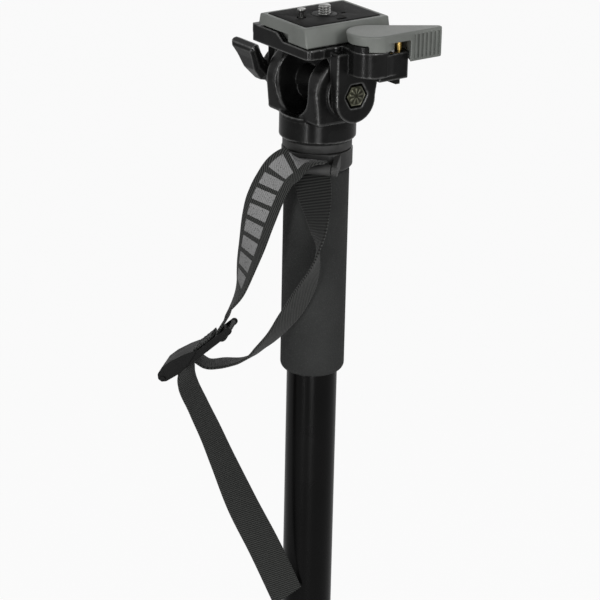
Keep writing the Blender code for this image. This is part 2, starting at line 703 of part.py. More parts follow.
def make_yoke(finishes):
    half = CHEEK_SPAN / 2
    body = prism(cheek_outline(CHEEK_RADIUS, CHEEK_FOOT_DEPTH, CHEEK_FOOT_Z), 'yz', -half, half)
    yoke = solid('yoke', body, finishes['casting'])
    bevel(yoke, CHEEK_BEVEL, 2)
    slot = CHEEK_SLOT / 2
    floor_centre = TILT_Z - SLOT_FLOOR_DROP + slot
    rings = []
    for depth, spread in ((CHEEK_RADIUS + SLOT_MOUTH, SLOT_MOUTH * 2), (CHEEK_RADIUS - SLOT_MOUTH, 0),
                          (SLOT_MOUTH - CHEEK_RADIUS, 0), (-CHEEK_RADIUS - SLOT_MOUTH, SLOT_MOUTH * 2)):
        wide = slot + spread
        low = arc((0, floor_centre), wide, math.pi, math.tau, PROFILE_STEPS * 2)
        high = TILT_Z + CHEEK_RADIUS + OVERRUN
        outline = low + [(wide, high), (-wide, high)]
        rings.append([Vector((x, CHEEK_Y + depth, z)) for x, z in outline])
    cut(yoke, rings_joined(rings))
    add(yoke, cylinder(SLEEVE_DIAMETER / 2, -slot - SINK * 2, slot + SINK * 2, TILT_AXIS, (1, 0, 0)))
    for side in (-1, 1):
        ends = sorted((side * (half - SINK), side * BOSS_X))
        add(yoke, cylinder(BOSS_DIAMETER / 2, *ends, TILT_AXIS, (1, 0, 0)))
    top = CHEEK_FOOT_Z + CHEEK_BEVEL + SINK
    collar = [(0, SEAT_Z), (BASE_DIAMETER / 2 - BASE_CHAMFER, SEAT_Z), (BASE_DIAMETER / 2, SEAT_Z + BASE_CHAMFER),
              (BASE_DIAMETER / 2, top), (0, top)]
    add(yoke, turned(collar))
    bolt = BOLT_DIAMETER / 2 + GAP
    cut(yoke, cylinder(bolt, -BOSS_X - OVERRUN, BOSS_X + OVERRUN, TILT_AXIS, (1, 0, 0), SMALL_ROUND))
    bush = BUSH_DIAMETER / 2 + GAP
    flange = bush + BUSH_FLANGE
    hole = [(0, SEAT_Z - OVERRUN), (flange, SEAT_Z - OVERRUN), (flange, SEAT_Z + BUSH_FLANGE + GAP),
            (bush, SEAT_Z + BUSH_FLANGE + GAP), (bush, SEAT_Z + BUSH_LENGTH + GAP), (0, SEAT_Z + BUSH_LENGTH + GAP)]
    cut(yoke, turned(hole, segments=SMALL_ROUND))
    inner = STUD_DIAMETER / 2 + GAP
    outer = BUSH_DIAMETER / 2
    profile = [(inner, SEAT_Z), (outer + BUSH_FLANGE, SEAT_Z), (outer + BUSH_FLANGE, SEAT_Z + BUSH_FLANGE),
               (outer, SEAT_Z + BUSH_FLANGE), (outer, SEAT_Z + BUSH_LENGTH), (inner, SEAT_Z + BUSH_LENGTH)]
    solid('thread_bush', turned(profile, segments=SMALL_ROUND, hollow=True), finishes['brass'])


def make_washers(finishes, holder):
    bolt = BOLT_DIAMETER / 2 + GAP
    for side, name in ((1, 'friction_washer_right'), (-1, 'friction_washer_left')):
        ends = sorted((side * (BOSS_X + GAP), side * (EAR_INNER - GAP)))
        ring = tube(WASHER_DIAMETER / 2, bolt, *ends, TILT_AXIS, (1, 0, 0), SMALL_ROUND)
        solid(name, ring, finishes['nylon'], holder)


def ear_outline(flare):
    # round under the tilt axis; the +Y side may flare out towards the floor
    low = arc((TILT_Y, TILT_Z - EAR_DROP), EAR_RADIUS, math.pi, math.tau, PROFILE_STEPS * 2)
    top = FLOOR_Z + FLOOR_THICKNESS / 2
    far = TILT_Y + EAR_RADIUS + flare
    return low + [(far, FLOOR_Z), (far, top), (TILT_Y - EAR_RADIUS, top)]


def gusset(side, edge):
    # a rib from the floor down the inside of an ear, stepped out past the cheek and its boss
    start = TILT_Y + edge * (EAR_RADIUS - GUSSET_THICKNESS)
    ends = sorted((start, TILT_Y + edge * EAR_RADIUS))
    top = FLOOR_Z + FLOOR_THICKNESS / 2
    near = EAR_RADIUS - GUSSET_THICKNESS
    swept = CHEEK_RADIUS + abs(TILT_Y - CHEEK_Y)
    past_cheek = TILT_Z + math.sqrt(swept ** 2 - near ** 2) + GAP
    past_boss = TILT_Z + math.sqrt((BOSS_DIAMETER / 2) ** 2 - near ** 2) + GAP
    outline = [(side * GUSSET_ROOT, top), (side * GUSSET_ROOT, FLOOR_Z), (side * (CHEEK_SPAN / 2 + GAP), past_cheek),
               (side * (BOSS_X + GAP), past_boss), (side * (EAR_INNER + SINK), TILT_Z - GUSSET_DROP),
               (side * (EAR_INNER + SINK), top)]
    return prism(outline, 'xz', *ends)


def make_platform(finishes, holder):
    half_width = FLOOR_WIDTH / 2
    y_range = (PLATE_SHIFT - FLOOR_LENGTH / 2, PLATE_SHIFT + FLOOR_LENGTH / 2)
    corners = [FLOOR_CORNER] * 3 + [FLOOR_NEAR_CORNER]
    floor = prism(rounded_rectangle((-half_width, half_width), y_range, corners), 'xy', FLOOR_Z, FLOOR_TOP)
    platform = solid('platform', floor, finishes['casting'], holder)

    # ears, with the right one flared on its far side, and their gussets
    for side, flare in ((1, EAR_FLARE), (-1, 0)):
        ends = sorted((side * EAR_INNER, side * EAR_OUTER))
        add(platform, prism(ear_outline(flare), 'yz', *ends))
        root = sorted((side * (half_width - SINK), side * (EAR_INNER + SINK)))
        wide = (TILT_Y - EAR_RADIUS, TILT_Y + EAR_RADIUS)
        add(platform, block(root, wide, (FLOOR_Z, FLOOR_Z + FLOOR_THICKNESS / 2)))
        for edge in (-1, 1):
            add(platform, gusset(side, edge))

    # fixed jaw along -X, undercut like the plate's side, and the end stop with its ramp
    lean = PLATE_FLARE * JAW_RISE / PLATE_HEIGHT
    foot_x = PLATE_X - PLATE_WIDTH / 2 - PLATE_FLARE - GAP
    jaw_top = FLOOR_TOP + JAW_RISE
    jaw = [(-half_width, FLOOR_TOP - SINK), (foot_x, FLOOR_TOP - SINK), (foot_x, FLOOR_TOP),
           (foot_x + lean, jaw_top), (-half_width, jaw_top)]
    add(platform, prism(jaw, 'xz', *y_range))
    stop = [(foot_x - SINK, FLOOR_TOP - SINK), (STOP_END + STOP_RAMP, FLOOR_TOP - SINK),
            (STOP_END + STOP_RAMP, FLOOR_TOP), (STOP_END, jaw_top - GAP), (foot_x - SINK, jaw_top - GAP)]
    add(platform, prism(stop, 'xz', y_range[0], y_range[0] + STOP_THICKNESS))

    # scalloped edge of the floor on the +X side
    for radius, place in zip(RIB_RADII, RIB_PLACES):
        centre = (half_width + RIB_PROUD - radius, place, 0)
        add(platform, cylinder(radius, FLOOR_Z, FLOOR_TOP, centre, segments=SMALL_ROUND))

    # clamp housing: a barrel under the lever's hub and a block that ends on an arc round it
    hub = (HUB_X, HUB_Y, 0)
    web = block((half_width - SINK, HUB_X), (HOUSING_WEB_START, HUB_Y + BARREL_DIAMETER / 2), (FLOOR_Z, BARREL_TOP))
    add(platform, web, cylinder(BARREL_DIAMETER / 2, BARREL_Z, BARREL_TOP, hub))
    block_top = PLATE_TOP - BLOCK_TOP_DROP
    outer_angle = math.acos((BLOCK_OUTER_X - HUB_X) / BLOCK_RADIUS)
    inner_angle = math.acos((EAR_INNER - HUB_X) / BLOCK_RADIUS)
    outline = [(EAR_INNER, HUB_Y), (BLOCK_OUTER_X, HUB_Y)]
    outline += arc((HUB_X, HUB_Y), BLOCK_RADIUS, outer_angle, inner_angle)
    add(platform, prism(outline, 'xy', BLOCK_Z, block_top))

    # pocket and bore for the tilt bolt, bores for the pivot screw, catch pin and trigger
    pocket_start = EAR_OUTER - POCKET_DEPTH
    bolt = BOLT_DIAMETER / 2 + GAP
    axis = TILT_AXIS
    cut(platform, hexagon(POCKET_FLATS, pocket_start, EAR_OUTER + OVERRUN, axis, (1, 0, 0)),
        cylinder(bolt, EAR_INNER - OVERRUN, EAR_OUTER, axis, (1, 0, 0), SMALL_ROUND),
        cylinder(bolt, -EAR_OUTER - OVERRUN, -EAR_INNER + OVERRUN, axis, (1, 0, 0), SMALL_ROUND))
    pivot = PIVOT_DIAMETER / 2 + GAP
    catch = SAFETY_PIN_DIAMETER / 2 + GAP
    head = PIVOT_HEAD_DIAMETER / 2 + GAP
    cut(platform, cylinder(pivot, BLOCK_Z - OVERRUN, BARREL_TOP + OVERRUN, hub, segments=SMALL_ROUND),
        cylinder(head, BLOCK_Z - OVERRUN, BARREL_Z, hub, segments=SMALL_ROUND),
        cylinder(catch, BLOCK_Z - OVERRUN, block_top + OVERRUN, (SAFETY_PIN_X, SAFETY_PIN_Y, 0),
                 segments=SMALL_ROUND))
    depth = TRIGGER_HEIGHT + TRIGGER_SPRING_HEIGHT + GAP
    cut(platform, cylinder(TRIGGER_DIAMETER / 2 + GAP, FLOOR_TOP - depth, FLOOR_TOP + OVERRUN,
                           (TRIGGER_X, TRIGGER_Y, 0), segments=SMALL_ROUND))


def make_tilt_bolt(finishes, holder):
    pocket_start = EAR_OUTER - POCKET_DEPTH
    head_start = pocket_start + GAP
    axis = TILT_AXIS
    free_end = -EAR_OUTER - GAP - LEVER_HUB_LENGTH
    head = hexagon(BOLT_FLATS, head_start, head_start + BOLT_HEAD_HEIGHT, axis, (1, 0, 0))
    bolt = solid('tilt_bolt', head, finishes['zinc'], holder)
    add(bolt, cylinder(BOLT_DIAMETER / 2, free_end, head_start + SINK, axis, (1, 0, 0), SMALL_ROUND))


def make_lock_lever(finishes, holder):
    axis = TILT_AXIS
    hub_start = -EAR_OUTER - GAP
    hub_end = hub_start - LEVER_HUB_LENGTH
    radius = LEVER_HUB_DIAMETER / 2
    hub = cylinder(radius, hub_end, hub_start, axis, (1, 0, 0), ROUND, bevel=EAR_BEVEL)
    lever = solid('lock_lever', hub, finishes['casting'], holder)

    # the wing: sections given as shares of the hub's size, from the hub out to the thumb end
    wing_shares = (
        # depth, height, outer side, inner side, thickness
        (-0.66, 0.00, -0.02, 0.10, 1.20),
        (-1.02, -0.02, 0.44, 0.06, 1.00),
        (-1.40, 0.32, 0.62, 0.02, 0.76),
        (-1.70, 0.86, 0.74, -0.10, 0.60),
        (-1.93, 1.26, 0.88, -0.24, 0.58),
        (-2.03, 1.41, 0.86, -0.22, 0.30),
    )
    middle = []
    for depth, height, outer, inner, thick in wing_shares:
        middle.append(Vector((0, TILT_Y + depth * radius, TILT_Z + height * radius)))
    rings = []
    for number, (depth, height, outer, inner, thick) in enumerate(wing_shares):
        before = middle[max(number - 1, 0)]
        after = middle[min(number + 1, len(middle) - 1)]
        along = (after - before).normalized()
        across = Vector((1, 0, 0)).cross(along)
        left = hub_end - outer * radius
        right = hub_start - inner * radius
        half = thick * radius / 2
        bend = min(half, (right - left) / 2) * WING_EDGE_SHARE
        ring = []
        for x, offset in ((left, -half + bend), (left + bend, -half), (right - bend, -half), (right, -half + bend),
                          (right, half - bend), (right - bend, half), (left + bend, half), (left, half - bend)):
            ring.append(Vector((x, 0, 0)) + middle[number] + across * offset)
        rings.append(ring)
    add(lever, rings_joined(rings))

    # the hub holds a threaded insert from inside and a cap over the bolt's end outside
    insert_start = hub_start - LEVER_INSERT_LENGTH
    cut(lever, hexagon(LEVER_INSERT_FLATS + GAP * 2, insert_start - GAP, hub_start + OVERRUN, axis, (1, 0, 0)),
        cylinder(BOLT_DIAMETER / 2 + GAP, hub_end - OVERRUN, hub_start + OVERRUN, axis, (1, 0, 0), SMALL_ROUND))
    insert = solid('lock_lever_insert', hexagon(LEVER_INSERT_FLATS, insert_start, hub_start, axis, (1, 0, 0)),
                   finishes['brass'], holder)
    cut(insert, cylinder(BOLT_DIAMETER / 2 + GAP, hub_end, hub_start + OVERRUN, axis, (1, 0, 0), SMALL_ROUND))
    cap_start = hub_end - GAP
    cap = cylinder(LEVER_CAP_DIAMETER / 2, cap_start - LEVER_CAP_HEIGHT, cap_start, axis, (1, 0, 0), SMALL_ROUND,
                   bevel=EAR_BEVEL)
    solid('lock_lever_cap', cap, finishes['plastic'], holder)


# The clamp

def lever_outline():
    # a teardrop from the hub's circle to the small circle at the tip
    hub_radius = HUB_DIAMETER / 2
    away = Vector((ARM_TIP_X - HUB_X, ARM_TIP_Y - HUB_Y))
    lean = math.atan2(away.y, away.x)
    spread = math.acos((hub_radius - ARM_TIP_RADIUS) / away.length)
    tip = arc((ARM_TIP_X, ARM_TIP_Y), ARM_TIP_RADIUS, lean - spread, lean + spread, 4)
    hub = arc((HUB_X, HUB_Y), hub_radius, lean + spread, lean + math.tau - spread, PROFILE_STEPS * 4)
    return tip + hub


def make_clamp_lever(finishes, holder):
    hub = (HUB_X, HUB_Y, 0)
    arm_z = HUB_TOP - ARM_THICKNESS
    lever = solid('clamp_lever', prism(lever_outline(), 'xy', arm_z, HUB_TOP), finishes['plate'], holder)
    bevel(lever, HUB_BEVEL, 2)
    add(lever, cylinder(HUB_DIAMETER / 2, HUB_Z, arm_z + SINK, hub))

    # the finger hangs lower, from the arc that clears the housing to the tip, with ribs on its outer face
    away = Vector((ARM_TIP_X - HUB_X, ARM_TIP_Y - HUB_Y))
    lean = math.atan2(away.y, away.x)
    spread = math.acos((HUB_DIAMETER / 2 - ARM_TIP_RADIUS) / away.length)
    outer = (math.cos(lean - spread), math.sin(lean - spread))
    inner = (math.cos(lean + spread), math.sin(lean + spread))
    reach = math.sqrt(FINGER_RADIUS ** 2 - (HUB_DIAMETER / 2) ** 2)
    outer_start = math.atan2(outer[1], outer[0]) + math.atan2(reach, HUB_DIAMETER / 2)
    inner_start = math.atan2(inner[1], inner[0]) - math.atan2(reach, HUB_DIAMETER / 2)
    tip = arc((ARM_TIP_X, ARM_TIP_Y), ARM_TIP_RADIUS, lean - spread, lean + spread, 4)
    outline = tip + arc((HUB_X, HUB_Y), FINGER_RADIUS, inner_start, outer_start)
    finger_z = PLATE_TOP - FINGER_DROP
    add(lever, prism(outline, 'xy', finger_z, arm_z + SINK))
    normal = Vector((outer[0], outer[1], 0))
    along = Vector((-outer[1], outer[0], 0))
    end = Vector((ARM_TIP_X, ARM_TIP_Y, 0)) + normal * ARM_TIP_RADIUS
    for rib in range(FINGER_RIBS):
        middle = end - along * FINGER_RIB_PITCH * rib
        ring = []
        for step, out in ((-1, -1), (1, -1), (1, 1), (-1, 1)):
            ring.append(middle + along * step * FINGER_RIB_WIDTH / 2 + normal * FINGER_RIB_PROUD * out)
        rise = [Vector((0, 0, finger_z + FINGER_RIB_WIDTH)), Vector((0, 0, HUB_TOP - HUB_BEVEL * 2))]
        add(lever, rings_joined([[point + height for point in ring] for height in rise]))
    pivot = PIVOT_DIAMETER / 2 + GAP
    cut(lever, cylinder(pivot, HUB_Z - OVERRUN, HUB_TOP - HUB_LID, hub, segments=SMALL_ROUND))


def make_pivot_screw(finishes, holder):
    # it comes from below and ends in a blind bore, so that the hub's top stays closed
    hub = (HUB_X, HUB_Y, 0)
    radius = PIVOT_DIAMETER / 2
    head = PIVOT_HEAD_DIAMETER / 2
    top = BARREL_Z - GAP
    profile = [(0, top - PIVOT_HEAD_HEIGHT), (head, top - PIVOT_HEAD_HEIGHT), (head, top), (radius, top),
               (radius, HUB_TOP - HUB_LID - GAP), (0, HUB_TOP - HUB_LID - GAP)]
    solid('clamp_pivot_screw', turned(profile, hub, segments=SMALL_ROUND), finishes['plastic'], holder)


def make_safety_catch(finishes, holder):
    centre = (SAFETY_PIN_X, SAFETY_PIN_Y, 0)
    radius = SAFETY_PIN_DIAMETER / 2
    tab_top = BLOCK_Z - GAP
    pin = cylinder(radius, tab_top + GAP, PLATE_TOP - SAFETY_PIN_TOP_DROP, centre, segments=SMALL_ROUND, bevel=GAP)
    solid('safety_pin', pin, finishes['brass'], holder)
    y_end = SAFETY_TAB_Y
    low = tab_top - SAFETY_TAB_HEIGHT
    outline = [(y_end, tab_top), (y_end - SAFETY_TAB_LENGTH, tab_top), (y_end - SAFETY_TAB_FLAT, low), (y_end, low)]
    half = SAFETY_TAB_WIDTH / 2
    solid('safety_tab', prism(outline, 'yz', SAFETY_PIN_X - half, SAFETY_PIN_X + half), finishes['plastic'], holder)


def make_trigger(finishes, holder, platform_holder):
    centre = (TRIGGER_X, TRIGGER_Y, 0)
    radius = TRIGGER_DIAMETER / 2
    bottom = FLOOR_TOP - TRIGGER_HEIGHT
    pin = cylinder(radius, bottom, FLOOR_TOP, centre, segments=SMALL_ROUND, bevel=GAP)
    solid('trigger_pin', pin, finishes['plastic'], holder)
    start = bottom - TRIGGER_SPRING_HEIGHT
    spring('trigger_spring', radius - SPRING_WIRE, start, bottom - GAP, centre, finishes['steel'], platform_holder)


# The quick-release plate

def plate_section(half, height):
    return half + PLATE_FLARE * (PLATE_TOP - height) / PLATE_HEIGHT


def make_plate(finishes, holder):
    half = PLATE_WIDTH / 2
    y_range = (PLATE_SHIFT - PLATE_LENGTH / 2, PLATE_SHIFT + PLATE_LENGTH / 2)
    wide = half + PLATE_FLARE
    outline = [(PLATE_X - half, PLATE_TOP), (PLATE_X + half, PLATE_TOP), (PLATE_X + wide, PLATE_Z),
               (PLATE_X - wide, PLATE_Z)]
    plate = solid('quick_release_plate', prism(outline, 'xz', *y_range), finishes['plate'], holder)
    bevel(plate, PLATE_BEVEL, 1)

    # the end that sits over the stop is thinner, apart from a block by the clamp
    notch = block((PLATE_X - wide - OVERRUN, NOTCH_END), (y_range[0] - OVERRUN, y_range[0] + END_NOTCH),
                  (PLATE_Z - OVERRUN, PLATE_TOP - BAND_HEIGHT))
    pad_z = PLATE_TOP - PAD_THICKNESS
    pad_x = (PLATE_X - half + PAD_MARGIN, PLATE_X + half - PAD_MARGIN)
    pad_y = (y_range[0] + PAD_MARGIN, y_range[1] - PAD_MARGIN)
    seat = prism(rounded_rectangle(pad_x, pad_y, [PAD_CORNER] * 4), 'xy', pad_z, PLATE_TOP + OVERRUN)
    recess = cylinder(PLATE_RECESS_DIAMETER / 2, PLATE_Z - OVERRUN, PLATE_Z + PLATE_RECESS_DEPTH, PLATE_MIDDLE)
    bore = cylinder(SCREW_DIAMETER / 2 + GAP, PLATE_Z, PLATE_TOP, PLATE_MIDDLE, segments=SMALL_ROUND)
    twist = (TWIST_PIN_X, TWIST_PIN_Y, 0)
    stem = cylinder(TWIST_STEM_DIAMETER / 2 + GAP, PLATE_Z - OVERRUN, PLATE_TOP, twist, segments=SMALL_ROUND)
    well = cylinder(TWIST_FLANGE_DIAMETER / 2 + GAP, PLATE_Z - OVERRUN, pad_z - TWIST_SHOULDER_DEPTH / 2, twist,
                    segments=SMALL_ROUND)
    cut(plate, notch, seat, recess, bore, stem, well)

    loose = rounded_rectangle((pad_x[0] + GAP, pad_x[1] - GAP), (pad_y[0] + GAP, pad_y[1] - GAP), [PAD_CORNER] * 4)
    pad = solid('plate_pad', prism(loose, 'xy', pad_z + GAP, PLATE_TOP + GAP), finishes['pad'], holder)
    cut(pad, cylinder(RETAINER_DIAMETER / 2 + GAP, pad_z - OVERRUN, PLATE_TOP + OVERRUN, PLATE_MIDDLE,
                      segments=SMALL_ROUND),
        cylinder(TWIST_HEAD_DIAMETER / 2 + GAP, pad_z - OVERRUN, PLATE_TOP + OVERRUN, twist, segments=SMALL_ROUND))
    for x, y, long, wide_slot in PAD_SLOTS:
        cut(pad, block((x - wide_slot / 2, x + wide_slot / 2), (y - long / 2, y + long / 2),
                       (pad_z - OVERRUN, PLATE_TOP + OVERRUN)))


def make_camera_screw(finishes, holder):
    middle = PLATE_MIDDLE
    web_bottom = PLATE_Z + PLATE_RECESS_DEPTH
    radius = SCREW_DIAMETER / 2
    head = SCREW_HEAD_DIAMETER / 2
    head_top = web_bottom - GAP
    head_z = head_top - SCREW_HEAD_HEIGHT
    top = PLATE_TOP + SCREW_RISE
    profile = [(0, head_z), (head, head_z), (head, head_top), (radius, head_top), (radius, top - radius / 4),
               (radius - radius / 4, top), (0, top)]
    screw = solid('camera_screw', turned(profile, middle, segments=SMALL_ROUND), finishes['steel'], holder)
    slot = SCREW_SLOT / 2
    cut(screw, block((-head - OVERRUN, head + OVERRUN), (PLATE_SHIFT - slot, PLATE_SHIFT + slot),
                     (head_z - OVERRUN, head_z + SCREW_SLOT)))
    pad_z = PLATE_TOP - PAD_THICKNESS
    washer = tube(RETAINER_DIAMETER / 2, radius + GAP, pad_z + GAP, PLATE_TOP + RETAINER_PROUD, middle,
                  segments=SMALL_ROUND)
    solid('screw_retainer', washer, finishes['steel'], holder)

    # the folding ring lies flat below the head
    wire = RING_WIRE / 2
    height = head_z - GAP - wire
    rings = []
    for step in range(SMALL_ROUND):
        angle = math.tau * step / SMALL_ROUND
        out = Vector((math.cos(angle), math.sin(angle), 0))
        centre = Vector((PLATE_X, PLATE_SHIFT, height)) + out * (RING_DIAMETER / 2 - wire)
        rings.append([centre + out * wire * math.cos(math.tau * side / SPRING_SIDES)
                      + Vector((0, 0, wire * math.sin(math.tau * side / SPRING_SIDES)))
                      for side in range(SPRING_SIDES)])
    solid('screw_ring', rings_joined(rings, closed=True), finishes['steel'], holder)


def make_twist_pin(finishes, holder, plate_holder):
    twist = (TWIST_PIN_X, TWIST_PIN_Y, 0)
    pad_z = PLATE_TOP - PAD_THICKNESS
    shoulder = pad_z - TWIST_SHOULDER_DEPTH / 2
    flange_top = shoulder - GAP
    flange_z = flange_top - TWIST_FLANGE_HEIGHT
    stem = TWIST_STEM_DIAMETER / 2
    head = TWIST_HEAD_DIAMETER / 2
    flange = TWIST_FLANGE_DIAMETER / 2
    top = PLATE_TOP + TWIST_RISE
    profile = [(0, flange_z), (flange, flange_z), (flange, flange_top), (stem, flange_top),
               (stem, top - TWIST_HEAD_HEIGHT), (head, top - TWIST_HEAD_HEIGHT), (head, top), (0, top)]
    solid('anti_twist_pin', turned(profile, twist, segments=SMALL_ROUND), finishes['plastic'], holder)
    plug_top = PLATE_Z + TWIST_PLUG_HEIGHT
    spring('anti_twist_spring', flange - SPRING_WIRE, plug_top + GAP, flange_z - GAP, twist, finishes['steel'],
           plate_holder)
    plug = cylinder(flange, PLATE_Z, plug_top, twist, segments=SMALL_ROUND)
    solid('anti_twist_plug', plug, finishes['steel'], plate_holder)


# The strap

def strap_point(right, out, down):
    # a place in the strap's own view: right and out of the picture from the axis, down from the head's seat
    turn = Matrix.Rotation(STRAP_VIEW_TURN, 3, 'Z')
    return turn @ Vector((out, right, 0)) + Vector((0, 0, SEAT_Z + down))


def strap_direction(right, out, down):
    return strap_point(right, out, down) - strap_point(0, 0, 0)


def smooth_run(values, steps):
    # a curve through every value, each a tuple of numbers
    run = []
    count = len(values)
    for number in range(count - 1):
        before = values[max(number - 1, 0)]
        here = values[number]
        there = values[number + 1]
        after = values[min(number + 2, count - 1)]
        for step in range(steps):
            t = step / steps
            point = []
            for a, b, c, d in zip(before, here, there, after):
                point.append(b + (c - a) * t / 2 + (2 * a - 5 * b + 4 * c - d) * t * t / 2
                             + (3 * b - a - 3 * c + d) * t ** 3 / 2)
            run.append(tuple(point))
    run.append(tuple(values[-1]))
    return run


def buckle_point(along, out, rise):
    # a place on the buckle: along it from its sewn end, out of the picture, and off its face
    start = BUCKLE_START
    off = rise * math.cos(BUCKLE_TILT) + out * math.sin(BUCKLE_TILT)
    towards = out * math.cos(BUCKLE_TILT) - rise * math.sin(BUCKLE_TILT)
    right = -along * math.cos(BUCKLE_SLOPE) - off * math.sin(BUCKLE_SLOPE)
    down = -along * math.sin(BUCKLE_SLOPE) + off * math.cos(BUCKLE_SLOPE)
    return strap_point(start[0] + right, start[1] + towards, start[2] + down)


def buckle_places(spots):
    # (along, rise) spots on the buckle as route places, their width laid along its bars
    across = buckle_point(0, 1, 0) - buckle_point(0, 0, 0)
    return [(buckle_point(along, 0, rise), across) for along, rise in spots]


def sewn_end():
    # the webbing's end lies against the front run, goes round the bar and rises as the front run
    bend = BUCKLE_BAR_DIAMETER / 2 + GAP + WEBBING_THICKNESS / 2
    lap = (WEBBING_THICKNESS + GAP) / 2
    lean = math.radians(141)
    spots = []
    for up, side in ((4.4, -lap / bend), (2.9, -lap / bend), (0, -1), (-0.71, -0.71), (-1, 0), (-0.71, 0.71),
                     (0, 1), (3.0, lap / bend), (4.6, lap / bend)):
        spots.append((bend * (up * math.cos(lean) + side * math.sin(lean)),
                      bend * (up * math.sin(lean) - side * math.cos(lean))))
    return buckle_places(spots)


def cam_turn():
    # up from below, over the cam bar and down again towards the tail
    bend = BUCKLE_BAR_DIAMETER / 2 + GAP + WEBBING_THICKNESS / 2
    bar = BUCKLE_LENGTH * BUCKLE_CAM_BAR_SHARE
    fall = BUCKLE_SLOPE
    spots = [(bar - bend * 2.1, -bend * 2.2), (bar - bend * 1.4, -bend * 0.8), (bar - bend * 0.78, bend * 0.62),
             (bar, bend), (bar + bend * 0.71, bend * 0.71), (bar + bend, 0)]
    for drop in (1.1, 2.4):
        spots.append((bar + bend + drop * bend * math.sin(fall), -drop * bend * math.cos(fall)))
    return buckle_places(spots)


def view_places(rows):
    # rows of right, out, down of the middle, then right, out, down of the width's direction
    return [(strap_point(*row[:3]), strap_direction(*row[3:])) for row in rows]


def front_and_back_run():
    pin_right, pin_out = -0.0042, STRAP_PIN_REACH - 0.0004
    pin_down = -STRAP_PIN_DROP
    wrap = STRAP_PIN_DIAMETER / 2 + GAP * 2 + WEBBING_THICKNESS / 2
    return view_places([
        (-0.0382, 0.0190, -0.0767, 0.27, 0.95, 0.00),
        (-0.0357, 0.0200, -0.0657, 0.50, 0.86, 0.00),
        (-0.0327, 0.0210, -0.0531, 0.70, 0.70, 0.00),
        (-0.0295, 0.0225, -0.0387, 0.88, 0.46, 0.00),
        (-0.0265, 0.0240, -0.0283, 0.97, 0.20, 0.00),
        (-0.0225, 0.0260, -0.0184, 1.00, 0.06, -0.08),
        (-0.0172, 0.0285, -0.0100, 0.96, 0.20, -0.22),
        (-0.0105, 0.0275, -0.0062, 0.94, 0.28, -0.16),
        (pin_right - 0.0012, pin_out + 0.0020, pin_down + wrap + 0.0004, 0.98, 0.19, -0.03),
        (pin_right + 0.0004, pin_out - wrap * 0.71, pin_down + wrap * 0.71, 0.98, 0.19, 0.00),
        (pin_right + 0.0010, pin_out - wrap, pin_down, 0.98, 0.19, 0.00),
        (-0.0022, 0.0182, -0.0180, 0.98, 0.19, 0.00),
        (-0.0005, 0.0212, -0.0276, 0.88, 0.47, 0.00),
        (0.0008, 0.0240, -0.0366, 0.64, 0.77, 0.00),
        (0.0014, 0.0262, -0.0448, 0.40, 0.92, 0.00),
        (0.0013, 0.0278, -0.0540, 0.00, 1.00, 0.00),
        (-0.0027, 0.0280, -0.0706, -0.34, 0.82, 0.44),
        (-0.0072, 0.0270, -0.0813, -0.38, 0.74, 0.55),
        (-0.0127, 0.0258, -0.0915, -0.38, 0.75, 0.54),
        (-0.0194, 0.0240, -0.1020, -0.22, 0.83, 0.51),
        (-0.0267, 0.0220, -0.1107, -0.10, 0.88, 0.46),
        (-0.0329, 0.0205, -0.1169, -0.02, 0.93, 0.37),
        (-0.0382, 0.0192, -0.1200, 0.00, 0.96, 0.27),
        (-0.0462, 0.0182, -0.1215, 0.00, 0.99, 0.12),
        (-0.0532, 0.0175, -0.1224, -0.04, 0.99, 0.10),
    ])


def ribbon(route):
    # a flat strip along the route, its width laid along the given direction
    run = smooth_run([(*middle, *width.normalized()) for middle, width in route], ROUTE_STEPS)
    rings = []
    for number, value in enumerate(run):
        before = Vector(run[max(number - 1, 0)][:3])
        after = Vector(run[min(number + 1, len(run) - 1)][:3])
        along = (after - before).normalized()
        width = Vector(value[3:])
        width = (width - along * width.dot(along)).normalized()
        face = along.cross(width)
        middle = Vector(value[:3])
        half = WEBBING_WIDTH / 2
        thick = WEBBING_THICKNESS / 2
        rings.append([middle + width * side * half + face * up * thick
                      for side, up in ((-1, -1), (1, -1), (1, 1), (-1, 1))])
    return rings_joined(rings)


def tail():
    return view_places([
        (-0.0655, 0.0165, -0.1320, 0.62, 0.78, 0.00),
        (-0.0597, 0.0165, -0.1477, 0.73, 0.68, 0.00),
        (-0.0535, 0.0165, -0.1630, 0.81, 0.58, 0.00),
        (-0.0473, 0.0170, -0.1780, 0.87, 0.49, 0.00),
        (-0.0359, 0.0178, -0.2046, 0.97, 0.22, 0.00),
        (-0.0239, 0.0190, -0.2285, 0.99, 0.14, 0.00),
        (-0.0105, 0.0200, -0.2580, 0.99, 0.10, 0.00),
    ])


def make_strap(finishes):
    route = sewn_end() + front_and_back_run() + cam_turn() + tail()
    solid('wrist_strap', ribbon(route), finishes['webbing'])


def buckle_prism(outline, start, end):
    # an outline of (along, rise) pairs drawn out across the buckle
    rings = [[buckle_point(along, out, rise) for along, rise in outline] for out in (start, end)]
    return rings_joined(rings)


def buckle_block(along_range, out_range, rise_range):
    outline = [(along_range[0], rise_range[0]), (along_range[1], rise_range[0]),
               (along_range[1], rise_range[1]), (along_range[0], rise_range[1])]
    return buckle_prism(outline, *out_range)


